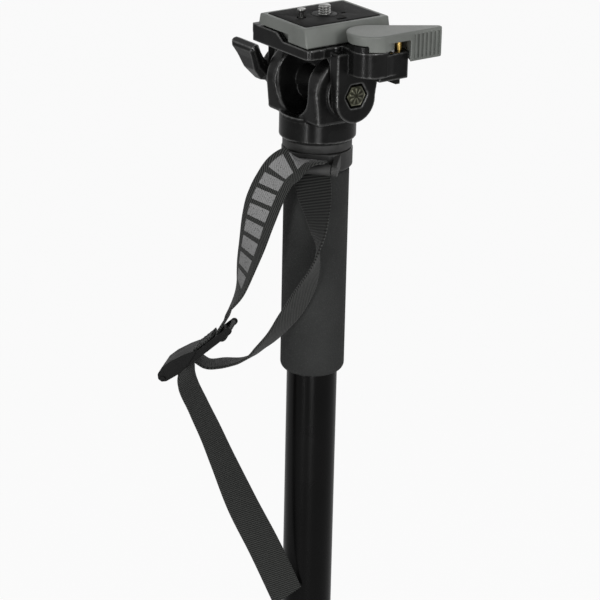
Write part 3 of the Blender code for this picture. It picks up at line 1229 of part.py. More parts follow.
def make_buckle(finishes, holder):
    inner = WEBBING_WIDTH / 2 + GAP * 2
    outer = inner + BUCKLE_RAIL
    bar = BUCKLE_BAR_DIAMETER / 2
    half_depth = BUCKLE_DEPTH / 2
    axis = buckle_point(0, 1, 0) - buckle_point(0, 0, 0)
    head = -BUCKLE_HEAD - bar
    frame_mesh = buckle_block((head, BUCKLE_LENGTH), (inner, outer), (-half_depth, half_depth))
    frame = solid('buckle_frame', frame_mesh, finishes['plastic'])
    add(frame, buckle_block((head, BUCKLE_LENGTH), (-outer, -inner), (-half_depth, half_depth)))
    cam_along = BUCKLE_LENGTH * BUCKLE_CAM_BAR_SHARE
    for along in (-BUCKLE_HEAD, 0, cam_along):
        add(frame, cylinder(bar, -inner - SINK, inner + SINK, buckle_point(along, 0, 0), axis, SMALL_ROUND))
    web = bar + WEBBING_THICKNESS + GAP * 4
    add(frame, buckle_block((web, web + BUCKLE_WEB_LENGTH), (-inner - SINK, inner + SINK), (-bar, bar)))
    pin_along = BUCKLE_LENGTH - BUCKLE_PIN_DIAMETER
    pin = BUCKLE_PIN_DIAMETER / 2
    place = buckle_point(pin_along, 0, 0)
    cut(frame, cylinder(pin + GAP, -outer - OVERRUN, outer + OVERRUN, place, axis, FINE_ROUND))
    reach = outer + BUCKLE_PIN_PROUD
    solid('buckle_pin', cylinder(pin, -reach, reach, place, axis, FINE_ROUND), finishes['steel'], holder)

    # the cam: a cover over the webbing that bends down past the pin, with skirts above the rails
    low = bar + WEBBING_THICKNESS + GAP * 5
    top = low + BUCKLE_COVER_THICKNESS
    nose = BUCKLE_LENGTH + pin
    start = BUCKLE_LENGTH * BUCKLE_COVER_SHARE
    skirt = half_depth + GAP
    bend = top * 1.6
    outline = [(start, low), (start, top - BUCKLE_COVER_THICKNESS / 2), (start + low, top), (nose - bend, top),
               (nose - bend / 2, top * 0.78), (nose - pin, top * 0.36), (nose, 0),
               (nose - pin * 1.6, 0), (nose - pin * 2.6, top * 0.26), (nose - bend * 0.8, low)]
    cam = solid('buckle_cam', buckle_prism(outline, -outer, outer), finishes['plastic'], holder)
    for side in (-1, 1):
        ends = sorted((side * inner, side * outer))
        add(cam, buckle_block((start, nose - bend), ends, (skirt, low + SINK)))
    knuckle = inner - GAP * 2
    add(cam, cylinder(pin * 2, -knuckle, knuckle, place, axis, SMALL_ROUND))
    add(cam, buckle_block((pin_along - pin * 1.5, pin_along + pin * 1.5), (-knuckle, knuckle), (0, top * 0.4)))
    relief = buckle_block((skirt, nose + OVERRUN), (inner - GAP, outer + OVERRUN), (-top, skirt))
    other = buckle_block((skirt, nose + OVERRUN), (-outer - OVERRUN, GAP - inner), (-top, skirt))
    cut(cam, relief, other, cylinder(pin + GAP, -outer - OVERRUN, outer + OVERRUN, place, axis, FINE_ROUND))


def main():
    for thing in list(bpy.data.objects):
        bpy.data.objects.remove(thing)
    finishes = make_finishes()

    middle = empty('middle_section', (0, 0, MIDDLE_TUBE_Z))
    lower = empty('lower_section', (0, 0, LOWER_TUBE_Z), middle)
    make_tubes(finishes, middle, lower)
    make_guide('middle_guide', MIDDLE_TUBE_RADIUS, UPPER_TUBE_RADIUS, MIDDLE_TUBE_TOP, finishes['nylon'], middle)
    make_guide('lower_guide', LOWER_TUBE_RADIUS, MIDDLE_TUBE_RADIUS, LOWER_TUBE_TOP, finishes['nylon'], lower)
    make_foot(finishes, lower)
    for prefix, base, outer, inner, holder in (
            ('upper', UPPER_LOCK_Z, UPPER_TUBE_RADIUS, MIDDLE_TUBE_RADIUS, None),
            ('lower', LOWER_LOCK_Z, MIDDLE_TUBE_RADIUS, LOWER_TUBE_RADIUS, middle)):
        bolt_x = inner + GAP + LOCK_WALL + LOCK_SHOULDER + LUG_REACH / 2
        cam_y = LOCK_SPLIT / 2 + LUG_THICKNESS + GAP + LOCK_CAM_DIAMETER / 2
        lever_axis = empty(f'{prefix}_lock_axis', (bolt_x, cam_y, base), holder)
        make_lock(prefix, base, outer, inner, finishes, holder, lever_axis)
    make_pole_top(finishes)
    make_strap_collar(finishes)
    make_grip(finishes)

    make_yoke(finishes)
    tilt = empty('tilt_axis', TILT_AXIS)
    make_washers(finishes, tilt)
    make_platform(finishes, tilt)
    make_tilt_bolt(finishes, tilt)
    lock = empty('lock_lever_axis', (-EAR_OUTER, TILT_Y, TILT_Z), tilt)
    make_lock_lever(finishes, lock)
    clamp = empty('clamp_axis', (HUB_X, HUB_Y, HUB_Z), tilt)
    make_clamp_lever(finishes, clamp)
    make_pivot_screw(finishes, tilt)
    catch = empty('catch_axis', (SAFETY_PIN_X, SAFETY_PIN_Y, BLOCK_Z), tilt)
    make_safety_catch(finishes, catch)
    trigger = empty('trigger_axis', (TRIGGER_X, TRIGGER_Y, FLOOR_TOP), tilt)
    make_trigger(finishes, trigger, tilt)

    plate = empty('plate_slide', (PLATE_X, PLATE_SHIFT, PLATE_Z), tilt)
    make_plate(finishes, plate)
    screw = empty('screw_axis', (PLATE_X, PLATE_SHIFT, PLATE_Z), plate)
    make_camera_screw(finishes, screw)
    twist = empty('twist_pin_axis', (TWIST_PIN_X, TWIST_PIN_Y, PLATE_TOP), plate)
    make_twist_pin(finishes, twist, plate)

    make_strap(finishes)
    buckle = empty('buckle_axis', buckle_point(BUCKLE_LENGTH - BUCKLE_PIN_DIAMETER, 0, 0))
    make_buckle(finishes, buckle)


main()
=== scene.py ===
# Monopod with a tilt head, a clamped camera plate, a foam grip and a webbing wrist strap.
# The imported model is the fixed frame: metres, Z up, the foot's underside at the origin.
import json
import math

import bmesh
import bpy
import numpy
from mathutils import Matrix, Vector


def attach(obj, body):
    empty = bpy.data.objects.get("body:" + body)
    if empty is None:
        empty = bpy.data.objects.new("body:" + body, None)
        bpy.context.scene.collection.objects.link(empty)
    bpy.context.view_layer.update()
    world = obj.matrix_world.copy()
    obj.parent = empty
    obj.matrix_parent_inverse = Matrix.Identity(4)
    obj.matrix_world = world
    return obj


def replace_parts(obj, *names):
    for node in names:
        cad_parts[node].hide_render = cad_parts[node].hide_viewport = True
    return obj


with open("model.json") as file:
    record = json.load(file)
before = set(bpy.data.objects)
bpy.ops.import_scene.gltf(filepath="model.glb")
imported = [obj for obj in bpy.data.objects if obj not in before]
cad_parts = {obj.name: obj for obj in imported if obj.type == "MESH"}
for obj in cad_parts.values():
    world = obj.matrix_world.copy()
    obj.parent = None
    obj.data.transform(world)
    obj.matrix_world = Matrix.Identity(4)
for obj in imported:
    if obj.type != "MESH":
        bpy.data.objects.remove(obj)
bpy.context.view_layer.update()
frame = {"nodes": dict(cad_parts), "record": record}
nodes = frame["nodes"]
bodyOf = {node: body for body, members in frame["record"]["behaviour"]["bodies"].items() for node in members}
slotOf = {part["node"]: part["material_slot"] for part in frame["record"]["subparts"]}
scene = bpy.context.scene
print("frame loaded:", len(nodes), "nodes")

# the clamp lever's upright axis, and the tilt's and the cheeks' along X
clampHub = (0.0349, 0.0058, 0)
tiltAxis = (0, 0.0015, 0.6734)
cheekAxis = (0, 0.0005, 0.6734)


# Camera, floor and light

cameraView = {
    "place": (1.02469, -0.76158, 1.04192),
    "right": (0.58564, 0.81032, 0.02021),
    "up": (-0.30091, 0.19419, 0.93367),
    "back": (0.75265, -0.55288, 0.35755),
    "lens": 154.2,
    "sensor": 36.0,
    "near": 0.05,
    "far": 60,
}


def newObject(name, data):
    made = bpy.data.objects.new(name, data)
    scene.collection.objects.link(made)
    return made


def makeCamera(view):
    data = bpy.data.cameras.new("photoCamera")
    data.lens, data.sensor_width = view["lens"], view["sensor"]
    data.clip_start, data.clip_end = view["near"], view["far"]
    camera = newObject("photoCamera", data)
    turn = Matrix((view["right"], view["up"], view["back"])).transposed()
    camera.matrix_world = Matrix.Translation(view["place"]) @ turn.to_4x4()
    scene.camera = camera


studio = {
    "floorSize": 60.0,
    # where the foot stands with both leg sections drawn out, so that the floor hides no pose
    "floorHeight": -0.97,
    "floorColour": (0.95, 0.95, 0.95, 1),
    "white": (1, 1, 1, 1),
    # how much plain white each kind of ray sees in place of the paper, or of the dim world
    "floorWhite": {"Is Camera Ray": 0.94, "Is Glossy Ray": 0.4},
    "worldWhite": {"Is Camera Ray": 1.0, "Is Glossy Ray": 1.0, "Is Transmission Ray": 1.0},
    "worldStrength": 0.23,
    "whiteStrength": 1.0,
    # name, place, aimed at, width, height, watts
    "lamps": (
        ("keyLamp", (0.53, -1.41, 0.65), (0, 0, 0.65), 0.06, 1.25, 9.0),
        ("frontLamp", (1.06, -0.7, 0.2), (0, 0, 0.66), 0.26, 0.26, 2.6),
        ("sideLamp", (2.6, -0.1, 1.5), (0, 0, 0.5), 0.6, 1.8, 28),
        ("topLamp", (0.3, 0.2, 2.9), (0, 0, 0.6), 1.0, 1.0, 3),
        ("backLamp", (-1.8, 2.2, 1.6), (0, 0, 0.4), 1.0, 1.8, 7),
    ),
}


def feed(tree, node, inputs):
    # a value or a link for each input
    for key, value in inputs.items():
        if isinstance(value, bpy.types.NodeSocket):
            tree.links.new(value, node.inputs[key])
        else:
            node.inputs[key].default_value = value


def addNode(tree, kind, inputs=None, **settings):
    made = tree.nodes.new(kind)
    for key, value in settings.items():
        setattr(made, key, value)
    feed(tree, made, inputs or {})
    return made.outputs


def shadeByRay(owner, output, shares, dull, plain):
    # the dull shader lights the scene, and each kind of ray in shares sees that much of the plain one
    owner.use_nodes = True
    tree = owner.node_tree
    tree.nodes.clear()
    rays = addNode(tree, "ShaderNodeLightPath")
    total = 0.0
    for name, share in shares.items():
        total = addNode(tree, "ShaderNodeMath", {0: rays[name], 1: share, 2: total}, operation="MULTIPLY_ADD")[0]
    first, second = [addNode(tree, kind, values)[0] for kind, values in (dull, plain)]
    mix = addNode(tree, "ShaderNodeMixShader", {0: total, 1: first, 2: second})
    addNode(tree, output, {0: mix[0]})


def makeWorld(setup):
    scene.world = bpy.data.worlds.new("studioWorld")
    dim, white = [("ShaderNodeBackground", {"Color": setup["white"], "Strength": setup[name]})
                  for name in ("worldStrength", "whiteStrength")]
    shadeByRay(scene.world, "ShaderNodeOutputWorld", setup["worldWhite"], dim, white)


def makeFloor(setup):
    half, low = setup["floorSize"] / 2, setup["floorHeight"]
    mesh = bpy.data.meshes.new("studioFloor")
    corners = [(x * half, y * half, low) for x, y in ((-1, -1), (1, -1), (1, 1), (-1, 1))]
    mesh.from_pydata(corners, [], [(0, 1, 2, 3)])
    paper = bpy.data.materials.new("floorPaper")
    shadeByRay(paper, "ShaderNodeOutputMaterial", setup["floorWhite"],
               ("ShaderNodeBsdfDiffuse", {"Color": setup["floorColour"]}),
               ("ShaderNodeEmission", {"Color": setup["white"]}))
    mesh.materials.append(paper)
    newObject("studioFloor", mesh)


def makeLamps(setup):
    for name, place, aim, width, height, watts in setup["lamps"]:
        data = bpy.data.lights.new(name, "AREA")
        data.shape, data.size, data.size_y, data.energy = "RECTANGLE", width, height, watts
        lamp = newObject(name, data)
        lamp.location = place
        lamp.rotation_mode = "QUATERNION"
        lamp.rotation_quaternion = (Vector(aim) - Vector(place)).to_track_quat("-Z", "Y")


makeCamera(cameraView)
makeWorld(studio)
makeFloor(studio)
makeLamps(studio)
scene.view_settings.view_transform = "Standard"
print("camera and studio made")


# Materials: each finish is a small tree of linked nodes on Object coordinates

class Finish:
    def __init__(self, name):
        self.material = bpy.data.materials.new(name)
        self.material.use_nodes = True
        self.tree = self.material.node_tree
        self.place = self.node("TexCoord")["Object"]

    def node(self, kind, inputs=None, **settings):
        return addNode(self.tree, "ShaderNode" + kind, inputs, **settings)

    def noise(self, scale, detail, rough=0.5, stretch=None):
        place = self.place
        if stretch:
            place = self.node("Mapping", {"Vector": place, "Scale": stretch})["Vector"]
        return self.node("TexNoise", {"Vector": place, "Scale": scale, "Detail": detail, "Roughness": rough})["Fac"]

    def cells(self, scale):
        return self.node("TexVoronoi", {"Vector": self.place, "Scale": scale})["Distance"]

    def ramp(self, value, low, high, start=0.0, end=1.0):
        values = {"Value": value, "From Min": low, "From Max": high, "To Min": start, "To Max": end}
        return self.node("MapRange", values)["Result"]

    def maths(self, operation, first, second=0.0):
        return self.node("Math", {0: first, 1: second}, operation=operation)[0]

    def times(self, first, *others):
        for other in others:
            first = self.maths("MULTIPLY", first, other)
        return first

    def plus(self, first, *others):
        for other in others:
            first = self.maths("ADD", first, other)
        return first

    def wave(self, value, length):
        # between 0 and 1, once in each length
        return self.ramp(self.maths("SINE", self.times(value, math.tau / length)), -1, 1)

    def within(self, value, low, high):
        return self.times(self.maths("GREATER_THAN", value, low), self.maths("LESS_THAN", value, high))

    def mixed(self, share, first, second):
        # a colour mix has its colours at sockets 6 and 7, and its result at 2
        return self.node("Mix", {0: share, 6: first, 7: second}, data_type="RGBA")[2]

    def bump(self, height, distance, strength):
        return self.node("Bump", {"Height": height, "Distance": distance, "Strength": strength})["Normal"]

    def shade(self, values):
        feed(self.tree, self.tree.nodes["Principled BSDF"], values)
        return self.material


def grey(level, tint=(1, 1, 1)):
    return (level * tint[0], level * tint[1], level * tint[2], 1)


greenish, faintGreen, yellowish, brassTint = (0.945, 1.0, 0.925), (0.97, 1, 0.98), (1, 1, 0.97), (1, 0.68, 0.22)
# noise: scale, detail, roughness, stretch. layers: a pattern, its range, the shares at its ends if not 0 and 1, and a
# colour. rough: a value, or a pattern, its range and two values. relief: shares of the bump. bump: distance, strength.
looks = {
    # black enamel over a die casting: fine orange peel, cloudy sheen
    "black_casting": {
        "name": "blackCasting", "noise": {"cloud": (90, 4), "peel": (1500, 2), "fine": (4650, 2)},
        "base": grey(0.0045), "layers": [("cloud", (0.35, 0.65), grey(0.0085, (0.98, 1, 0.98)))],
        "rough": ("cloud", 0.3, 0.7, 0.21, 0.33), "relief": {"peel": 1, "fine": 0.4}, "bump": (0.00003, 0.5),
        "shader": {"Specular IOR Level": 0.12}},
    # grey enamel on cast aluminium, slightly green, with fine grain and a few pale scuffs
    "grey_plate": {
        "name": "greyEnamel", "noise": {"cloud": (60, 5), "grain": (2200, 3), "scuff": (260, 8, 0.7)},
        "base": grey(0.136, greenish), "layers": [("cloud", (0.3, 0.7), grey(0.182, greenish)),
                                                  ("scuff", (0.66, 0.78, 0, 0.35), grey(0.3, greenish))],
        "rough": ("grain", 0.3, 0.7, 0.42, 0.58), "relief": {"grain": 1}, "bump": (0.00005, 0.5),
        "shader": {"Metallic": 0.15}},
    # rubber and cork sheet: dark, mottled, with pressed grain
    "plate_pad": {
        "name": "padSheet", "noise": {"cloud": (220, 4)}, "cells": {"crumbs": 1400},
        "base": grey(0.011, (1, 0.99, 0.96)), "layers": [("crumbs", (0.15, 0.6), grey(0.004)),
                                                         ("cloud", (0.55, 0.8), grey(0.022, (1, 0.97, 0.92)))],
        "rough": 0.78, "relief": {"crumbs": 1}, "bump": (0.00014, 0.8), "shader": {"Specular IOR Level": 0.12}},
    "bright_steel": {
        "name": "brightSteel", "noise": {"cloud": (700, 4), "fine": (5200, 2)},
        "base": grey(0.17, yellowish), "layers": [("cloud", (0.3, 0.7), grey(0.26, yellowish))],
        "rough": ("fine", 0.3, 0.7, 0.22, 0.4), "relief": {"fine": 1}, "bump": (0.00003, 0.6),
        "shader": {"Metallic": 1.0}},
    # injection moulded black plastic: spark texture and soft flow marks
    "black_plastic": {
        "name": "blackPlastic", "noise": {"flow": (120, 3), "spark": (3000, 2), "lumps": (400, 4)},
        "base": grey(0.004), "layers": [("flow", (0.35, 0.7), grey(0.01))],
        "rough": ("flow", 0.3, 0.7, 0.5, 0.64), "relief": {"spark": 1, "lumps": 0.8}, "bump": (0.00012, 0.6),
        "shader": {"Specular IOR Level": 0.3, "IOR": 1.25}},
    # the strap's collar and the disc above it: grey-black plastic with a dull skin
    "collar_plastic": {
        "name": "collarPlastic", "noise": {"cloud": (160, 4), "spark": (2600, 2)},
        "base": grey(0.022), "layers": [("cloud", (0.3, 0.7), grey(0.04, yellowish))],
        "rough": 0.5, "relief": {"spark": 1}, "bump": (0.00006, 0.6), "shader": {"Specular IOR Level": 0.3}},
    "white_nylon": {
        "name": "whiteNylon", "noise": {"cloud": (300, 3)},
        "base": grey(0.48, (1, 0.99, 0.94)), "layers": [("cloud", (0, 1), grey(0.6, (1, 1, 0.96)))],
        "rough": 0.42, "relief": {"cloud": 1}, "bump": (0.00004, 0.5)},
    # closed-cell foam rubber: pores and paler crumbs under a matt skin
    "grip_foam": {
        "name": "gripFoam", "noise": {"cloud": (45, 4), "speck": (2600, 2)}, "cells": {"pores": 1500, "small": 3400},
        "base": grey(0.026, faintGreen), "layers": [("cloud", (0.3, 0.7), grey(0.036, faintGreen)),
                                                    ("speck", (0.6, 0.74, 0, 0.5), grey(0.1))],
        "rough": 0.86, "relief": {"pores": 1, "small": 0.5}, "bump": (0.00022, 0.85),
        "shader": {"Specular IOR Level": 0.2}},
    # gloss black coat drawn along the tube, with faint lengthwise marks
    "gloss_black_tube": {
        "name": "glossTube", "noise": {"cloud": (26, 3), "drawn": (1400, 2, 0.5, (1, 1, 0.02))},
        "base": grey(0.002), "layers": [("cloud", (0, 1), grey(0.0036))],
        "rough": ("cloud", 0.3, 0.7, 0.22, 0.3), "relief": {"drawn": 1}, "bump": (0.00002, 0.35),
        "shader": {"Specular IOR Level": 0.1}},
    "foot_rubber": {
        "name": "footRubber", "noise": {"dust": (140, 5, 0.65), "grain": (1800, 3)},
        "base": grey(0.02), "layers": [("dust", (0.52, 0.75, 0, 0.45), grey(0.055, (1, 0.98, 0.95)))],
        "rough": 0.8, "relief": {"grain": 1}, "bump": (0.00008, 0.7)},
    "strap_thread": {
        "name": "strapThread", "noise": {"twist": (4200, 3)},
        "base": grey(0.012), "layers": [("twist", (0.35, 0.65), grey(0.034))],
        "rough": 0.8, "relief": {"twist": 1}, "bump": (0.00005, 0.8), "shader": {"Specular IOR Level": 0.2}},
}
looks["brass"] = {
    **looks["bright_steel"], "name": "brassPin", "base": grey(0.55, brassTint),
    "layers": [("cloud", (0.3, 0.7), grey(0.68, brassTint))], "rough": ("fine", 0.3, 0.7, 0.18, 0.36)}
# painted highlight: edges and corners, which the surface's pointiness finds, get a lighter patchy colour standing in
# for highlights, and a brighter gloss
looks["rubbed_casting"] = {
    **looks["black_casting"], "name": "paintedHighlightCasting",
    "rub": {"edges": (0.503, 0.524), "fading": (0.535, 0.575, 1.0, 0.35), "patches": (420, 4, 0.6),
            "patchRange": (0.3, 0.62, 0.3, 1.0), "colour": grey(0.055, (1, 1, 0.96)), "share": 0.5, "gloss": 0.9}}


def layeredFinish(look):
    finish = Finish(look["name"])
    patterns = {key: finish.noise(*values) for key, values in look["noise"].items()}
    patterns.update((key, finish.cells(scale)) for key, scale in look.get("cells", {}).items())
    colour, rough, shader = look["base"], look["rough"], dict(look.get("shader", {}))
    for key, spread, over in look["layers"]:
        colour = finish.mixed(finish.ramp(patterns[key], *spread), colour, over)
    wearAndHighlight = look.get("rub")
    # painted highlight on edges and corners: a lighter colour where the pointiness is high, with more gloss
    if wearAndHighlight:
        bend = finish.node("NewGeometry")["Pointiness"]
        patches = finish.ramp(finish.noise(*wearAndHighlight["patches"]), *wearAndHighlight["patchRange"])
        rub = finish.times(finish.ramp(bend, *wearAndHighlight["edges"]), finish.ramp(bend, *wearAndHighlight["fading"]), patches)
        colour = finish.mixed(finish.times(rub, wearAndHighlight["share"]), colour, wearAndHighlight["colour"])
        shader["Specular IOR Level"] = finish.ramp(rub, 0, 1, shader["Specular IOR Level"], wearAndHighlight["gloss"])
    if isinstance(rough, tuple):
        rough = finish.ramp(patterns[rough[0]], *rough[1:])
    height = finish.plus(*[finish.times(patterns[key], share) for key, share in look["relief"].items()])
    normal = finish.bump(height, *look["bump"])
    return finish.shade({"Base Color": colour, "Roughness": rough, "Normal": normal, **shader})


boltLook = {
    "cloud": (900, 4), "spread": (0.3, 0.7), "dark": grey(0.014, (1, 1, 0.6)), "light": grey(0.036, (1, 1, 0.6)),
    "markAndHighlight": grey(0.3, (1, 1, 0.74)), "marks": 9, "markRange": (-0.2, 0.9), "markShare": 0.35,
    # radii between which the marks come in, the marks end and the painted highlight on the rim comes in
    "markStart": (0.0008, 0.0018), "markEnd": (0.0046, 0.0038), "rim": (0.0043, 0.005),
    # where across and up the painted rim highlight is strongest, its range and the shares at both ends
    "highlightSide": (0.8, -0.6), "highlightRange": (-0.001, 0.005, 0.1, 1.0),
    "cloudRelief": 0.3, "bump": (0.00025, 0.8), "rough": 0.38, "metal": 0.85,
}


def boltFinish(look):
    # yellow-olive plating with marks that run out from the middle of the bolt's head, and a painted highlight on one
    # side of the head's rim
    finish = Finish("oliveZinc")
    parts = finish.node("SeparateXYZ", {0: finish.place})
    across, up = [finish.maths("SUBTRACT", parts["XYZ"[axis]], tiltAxis[axis]) for axis in (1, 2)]
    turn = finish.maths("ARCTAN2", up, across)
    reach = finish.maths("SQRT", finish.plus(finish.times(across, across), finish.times(up, up)))
    waves = finish.ramp(finish.maths("SINE", finish.times(turn, look["marks"])), *look["markRange"])
    marks = finish.times(finish.ramp(reach, *look["markStart"]), finish.ramp(reach, *look["markEnd"]), waves)
    # painted highlight: the head's rim is made lighter towards one side
    side = finish.plus(finish.times(across, look["highlightSide"][0]), finish.times(up, look["highlightSide"][1]))
    edge = finish.times(finish.ramp(reach, *look["rim"]), finish.ramp(side, *look["highlightRange"]))
    cloud = finish.noise(*look["cloud"])
    base = finish.mixed(finish.ramp(cloud, *look["spread"]), look["dark"], look["light"])
    share = finish.maths("MAXIMUM", finish.times(marks, look["markShare"]), edge)
    normal = finish.bump(finish.plus(marks, finish.times(cloud, look["cloudRelief"])), *look["bump"])
    return finish.shade({"Base Color": finish.mixed(share, base, look["markAndHighlight"]), "Roughness": look["rough"],
                         "Metallic": look["metal"], "Normal": normal})


webbingLook = {
    "width": 0.019, "rib": 0.0015, "slant": 1.1, "yarn": 0.000825, "ribShare": 0.86, "yarnShare": 0.14,
    "fuzz": (3200, 3), "fuzzShare": 0.3, "spread": (0.3, 1.0), "dark": grey(0.001, (0.96, 1.0, 0.94)),
    "light": grey(0.05, (0.96, 1.0, 0.94)), "innerShadeShare": 0.46,
    # the row of pale bars: where along the strap, the pitch and the bar's share of it, and shares of the width
    "printRun": (0.037, 0.164), "printPitch": 0.0098, "printShare": 0.72, "printBand": (0.16, 0.74),
    "ink": grey(0.26), "inkLow": grey(0.208), "wearAndHighlight": (1500, 4), "wornRange": (0.3, 0.42),
    "bump": (0.00022, 0.9),
    "shader": {"Roughness": 0.82, "Specular IOR Level": 0.2, "Sheen Weight": 0.12, "Sheen Roughness": 0.5},
}


def webbingFinish(look):
    # from the strap's own coordinates: slanting twill on the outer face, straight ribs on the inner one, which is
    # darkened as painted shade
    finish = Finish("strapWebbing")
    parts = finish.node("SeparateXYZ", {0: finish.node("UVMap", uv_map="webbing")["UV"]})
    u, v = parts["X"], parts["Y"]
    inWidth = finish.maths("FRACT", u)
    across = finish.times(inWidth, look["width"])
    outside = finish.maths("GREATER_THAN", u, 1.5)
    rib = finish.wave(finish.plus(v, finish.times(across, look["slant"], outside)), look["rib"])
    yarn = finish.wave(across, look["yarn"])
    weave = finish.plus(finish.times(rib, look["ribShare"]), finish.times(yarn, look["yarnShare"]))
    fuzz = finish.times(finish.noise(*look["fuzz"]), look["fuzzShare"])
    level = finish.ramp(finish.plus(weave, fuzz), *look["spread"])
    base = finish.mixed(level, look["dark"], look["light"])
    # painted shade: the inner face is mixed towards black
    base = finish.mixed(outside, finish.mixed(look["innerShadeShare"], grey(0.0), base), base)
    inBar = finish.maths("FRACT", finish.maths("DIVIDE", v, look["printPitch"]))
    bars = finish.times(outside, finish.within(v, *look["printRun"]), finish.within(inWidth, *look["printBand"]),
                        finish.maths("LESS_THAN", inBar, look["printShare"]),
                        finish.ramp(finish.noise(*look["wearAndHighlight"]), *look["wornRange"]))
    colour = finish.mixed(bars, base, finish.mixed(level, look["inkLow"], look["ink"]))
    normal = finish.bump(weave, *look["bump"])
    return finish.shade({"Base Color": colour, "Normal": normal, **look["shader"]})


materials = {slot: layeredFinish(look) for slot, look in looks.items()}
materials.update(yellow_zinc=boltFinish(boltLook), strap_webbing=webbingFinish(webbingLook))
print("finishes made:", len(materials))


# Ways to make pieces

meshRules = {"mergeDistance": 1e-6, "flatAngle": math.radians(0.4), "softAngle": math.radians(35), "bevelSegments": 2,
             "easeFactor": 0.5}


def asMesh(name, shape):
    # the bmesh is used up
    data = bpy.data.meshes.new(name)
    shape.to_mesh(data)
    shape.free()
    return data


def addPiece(name, shape, slot, body, material=None):
    data = asMesh(name, shape)
    data.materials.append(material or materials[slot])
    piece = newObject(name, data)
    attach(piece, body)
    return piece


def shadeSoft(piece, angle=meshRules["softAngle"]):
    piece.data.shade_smooth()
    piece.data.set_sharp_from_angle(angle=angle)


def addModifier(piece, kind, **settings):
    modifier = piece.modifiers.new(kind.lower(), kind)
    for name, value in settings.items():
        setattr(modifier, name, value)
    return modifier


def applyModifiers(piece):
    graph = bpy.context.evaluated_depsgraph_get()
    graph.update()
    data = bpy.data.meshes.new_from_object(piece.evaluated_get(graph))
    old = piece.data
    piece.modifiers.clear()
    piece.data = data
    bpy.data.meshes.remove(old)


def mergedCopy(node):
    mesh = bmesh.new()
    mesh.from_mesh(nodes[node].data)
    bmesh.ops.remove_doubles(mesh, verts=mesh.verts, dist=meshRules["mergeDistance"])
    bmesh.ops.dissolve_limit(mesh, angle_limit=meshRules["flatAngle"], verts=mesh.verts, edges=mesh.edges)
    return mesh


def dressNode(node, width):
    # the CAD node's own shape with its edges broken and its round faces smooth
    piece = addPiece(node + "_dressed", mergedCopy(node), slotOf[node], bodyOf[node])
    if width:
        addModifier(piece, "BEVEL", width=width, segments=meshRules["bevelSegments"], limit_method="ANGLE",
                    angle_limit=meshRules["softAngle"])
        applyModifiers(piece)
    shadeSoft(piece)
    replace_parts(piece, node)


def ringMesh(outlines, ends="capped"):
    # a skin over outlines of one count, or of a single point; the first and last are capped, joined or left open
    mesh = bmesh.new()
    rings = [[mesh.verts.new(spot) for spot in outline] for outline in outlines]
    for low, high in zip(rings, rings[1:] + (rings[:1] if ends == "joined" else [])):
        count = max(len(low), len(high))
        for index in range(count):
            turn = (index + 1) % count
            corners = [ring[place % len(ring)] for ring, place in
                       ((low, index), (low, turn), (high, turn), (high, index))]
            mesh.faces.new(list(dict.fromkeys(corners)))
    if ends == "capped":
        mesh.faces.new(reversed(rings[0]))
        mesh.faces.new(rings[-1])
    bmesh.ops.recalc_face_normals(mesh, faces=mesh.faces)
    return mesh


def drawn(axis, outline, start, end):
    # an outline of pairs, in the order of the other two axes, drawn out along the axis
    order = "XYZ".index(axis)
    return ringMesh([[(*pair[:order], along, *pair[order:]) for pair in outline] for along in (start, end)])


def around(centre, radius, turn):
    return (centre[0] + radius * math.cos(turn), centre[1] + radius * math.sin(turn))


def arcPairs(centre, radius, start, end, steps=24):
    turns = [math.radians(start + (end - start) * step / steps) for step in range(steps + 1)]
    return [around(centre, radius, turn) for turn in turns]


def turnedMesh(profile, centre, steps, ends="open"):
    # (radius, height) pairs spun about a vertical axis
    rings = [[(*around(centre, radius, math.tau * step / steps), height) for step in range(steps if radius else 1)]
             for radius, height in profile]
    return ringMesh(rings, ends)


def addShapes(mesh, shapes):
    for shape in shapes:
        data = asMesh("added", shape)
        mesh.from_mesh(data)
        bpy.data.meshes.remove(data)
    return mesh


def carveAway(piece, shape):
    cutter = newObject("cutter", asMesh("cutter", shape))
    addModifier(piece, "BOOLEAN", operation="DIFFERENCE", solver="EXACT", use_self=True, object=cutter)
    applyModifiers(piece)
    # the object goes with its mesh
    bpy.data.meshes.remove(cutter.data)


def easeSkin(piece, cutters, voxel, rounds):
    # cuts, then draws one skin over it all and eases it so that every edge and corner has a radius
    for shape in cutters:
        carveAway(piece, shape)
    addModifier(piece, "REMESH", mode="VOXEL", voxel_size=voxel)
    addModifier(piece, "SMOOTH", factor=meshRules["easeFactor"], iterations=rounds)
    applyModifiers(piece)


def easeRim(piece, rounds, box, axis, nearest):
    # only what lies in the box, and farther than nearest from an axis along X
    group = piece.vertex_groups.new(name="rim")
    inside = [vertex.index for vertex in piece.data.vertices
              if math.hypot(vertex.co.y - axis[1], vertex.co.z - axis[2]) > nearest
              and all(low < value < high for value, (low, high) in zip(vertex.co, box))]
    group.add(inside, 1.0, "REPLACE")
    addModifier(piece, "SMOOTH", factor=meshRules["easeFactor"], iterations=rounds, vertex_group="rim")
    applyModifiers(piece)
    piece.vertex_groups.clear()


# flats of a solid's round face, the slack on their depth, and how many depths under the radius the lifting starts
roundRules = {"flats": 32, "slack": 1.25, "depths": 3}


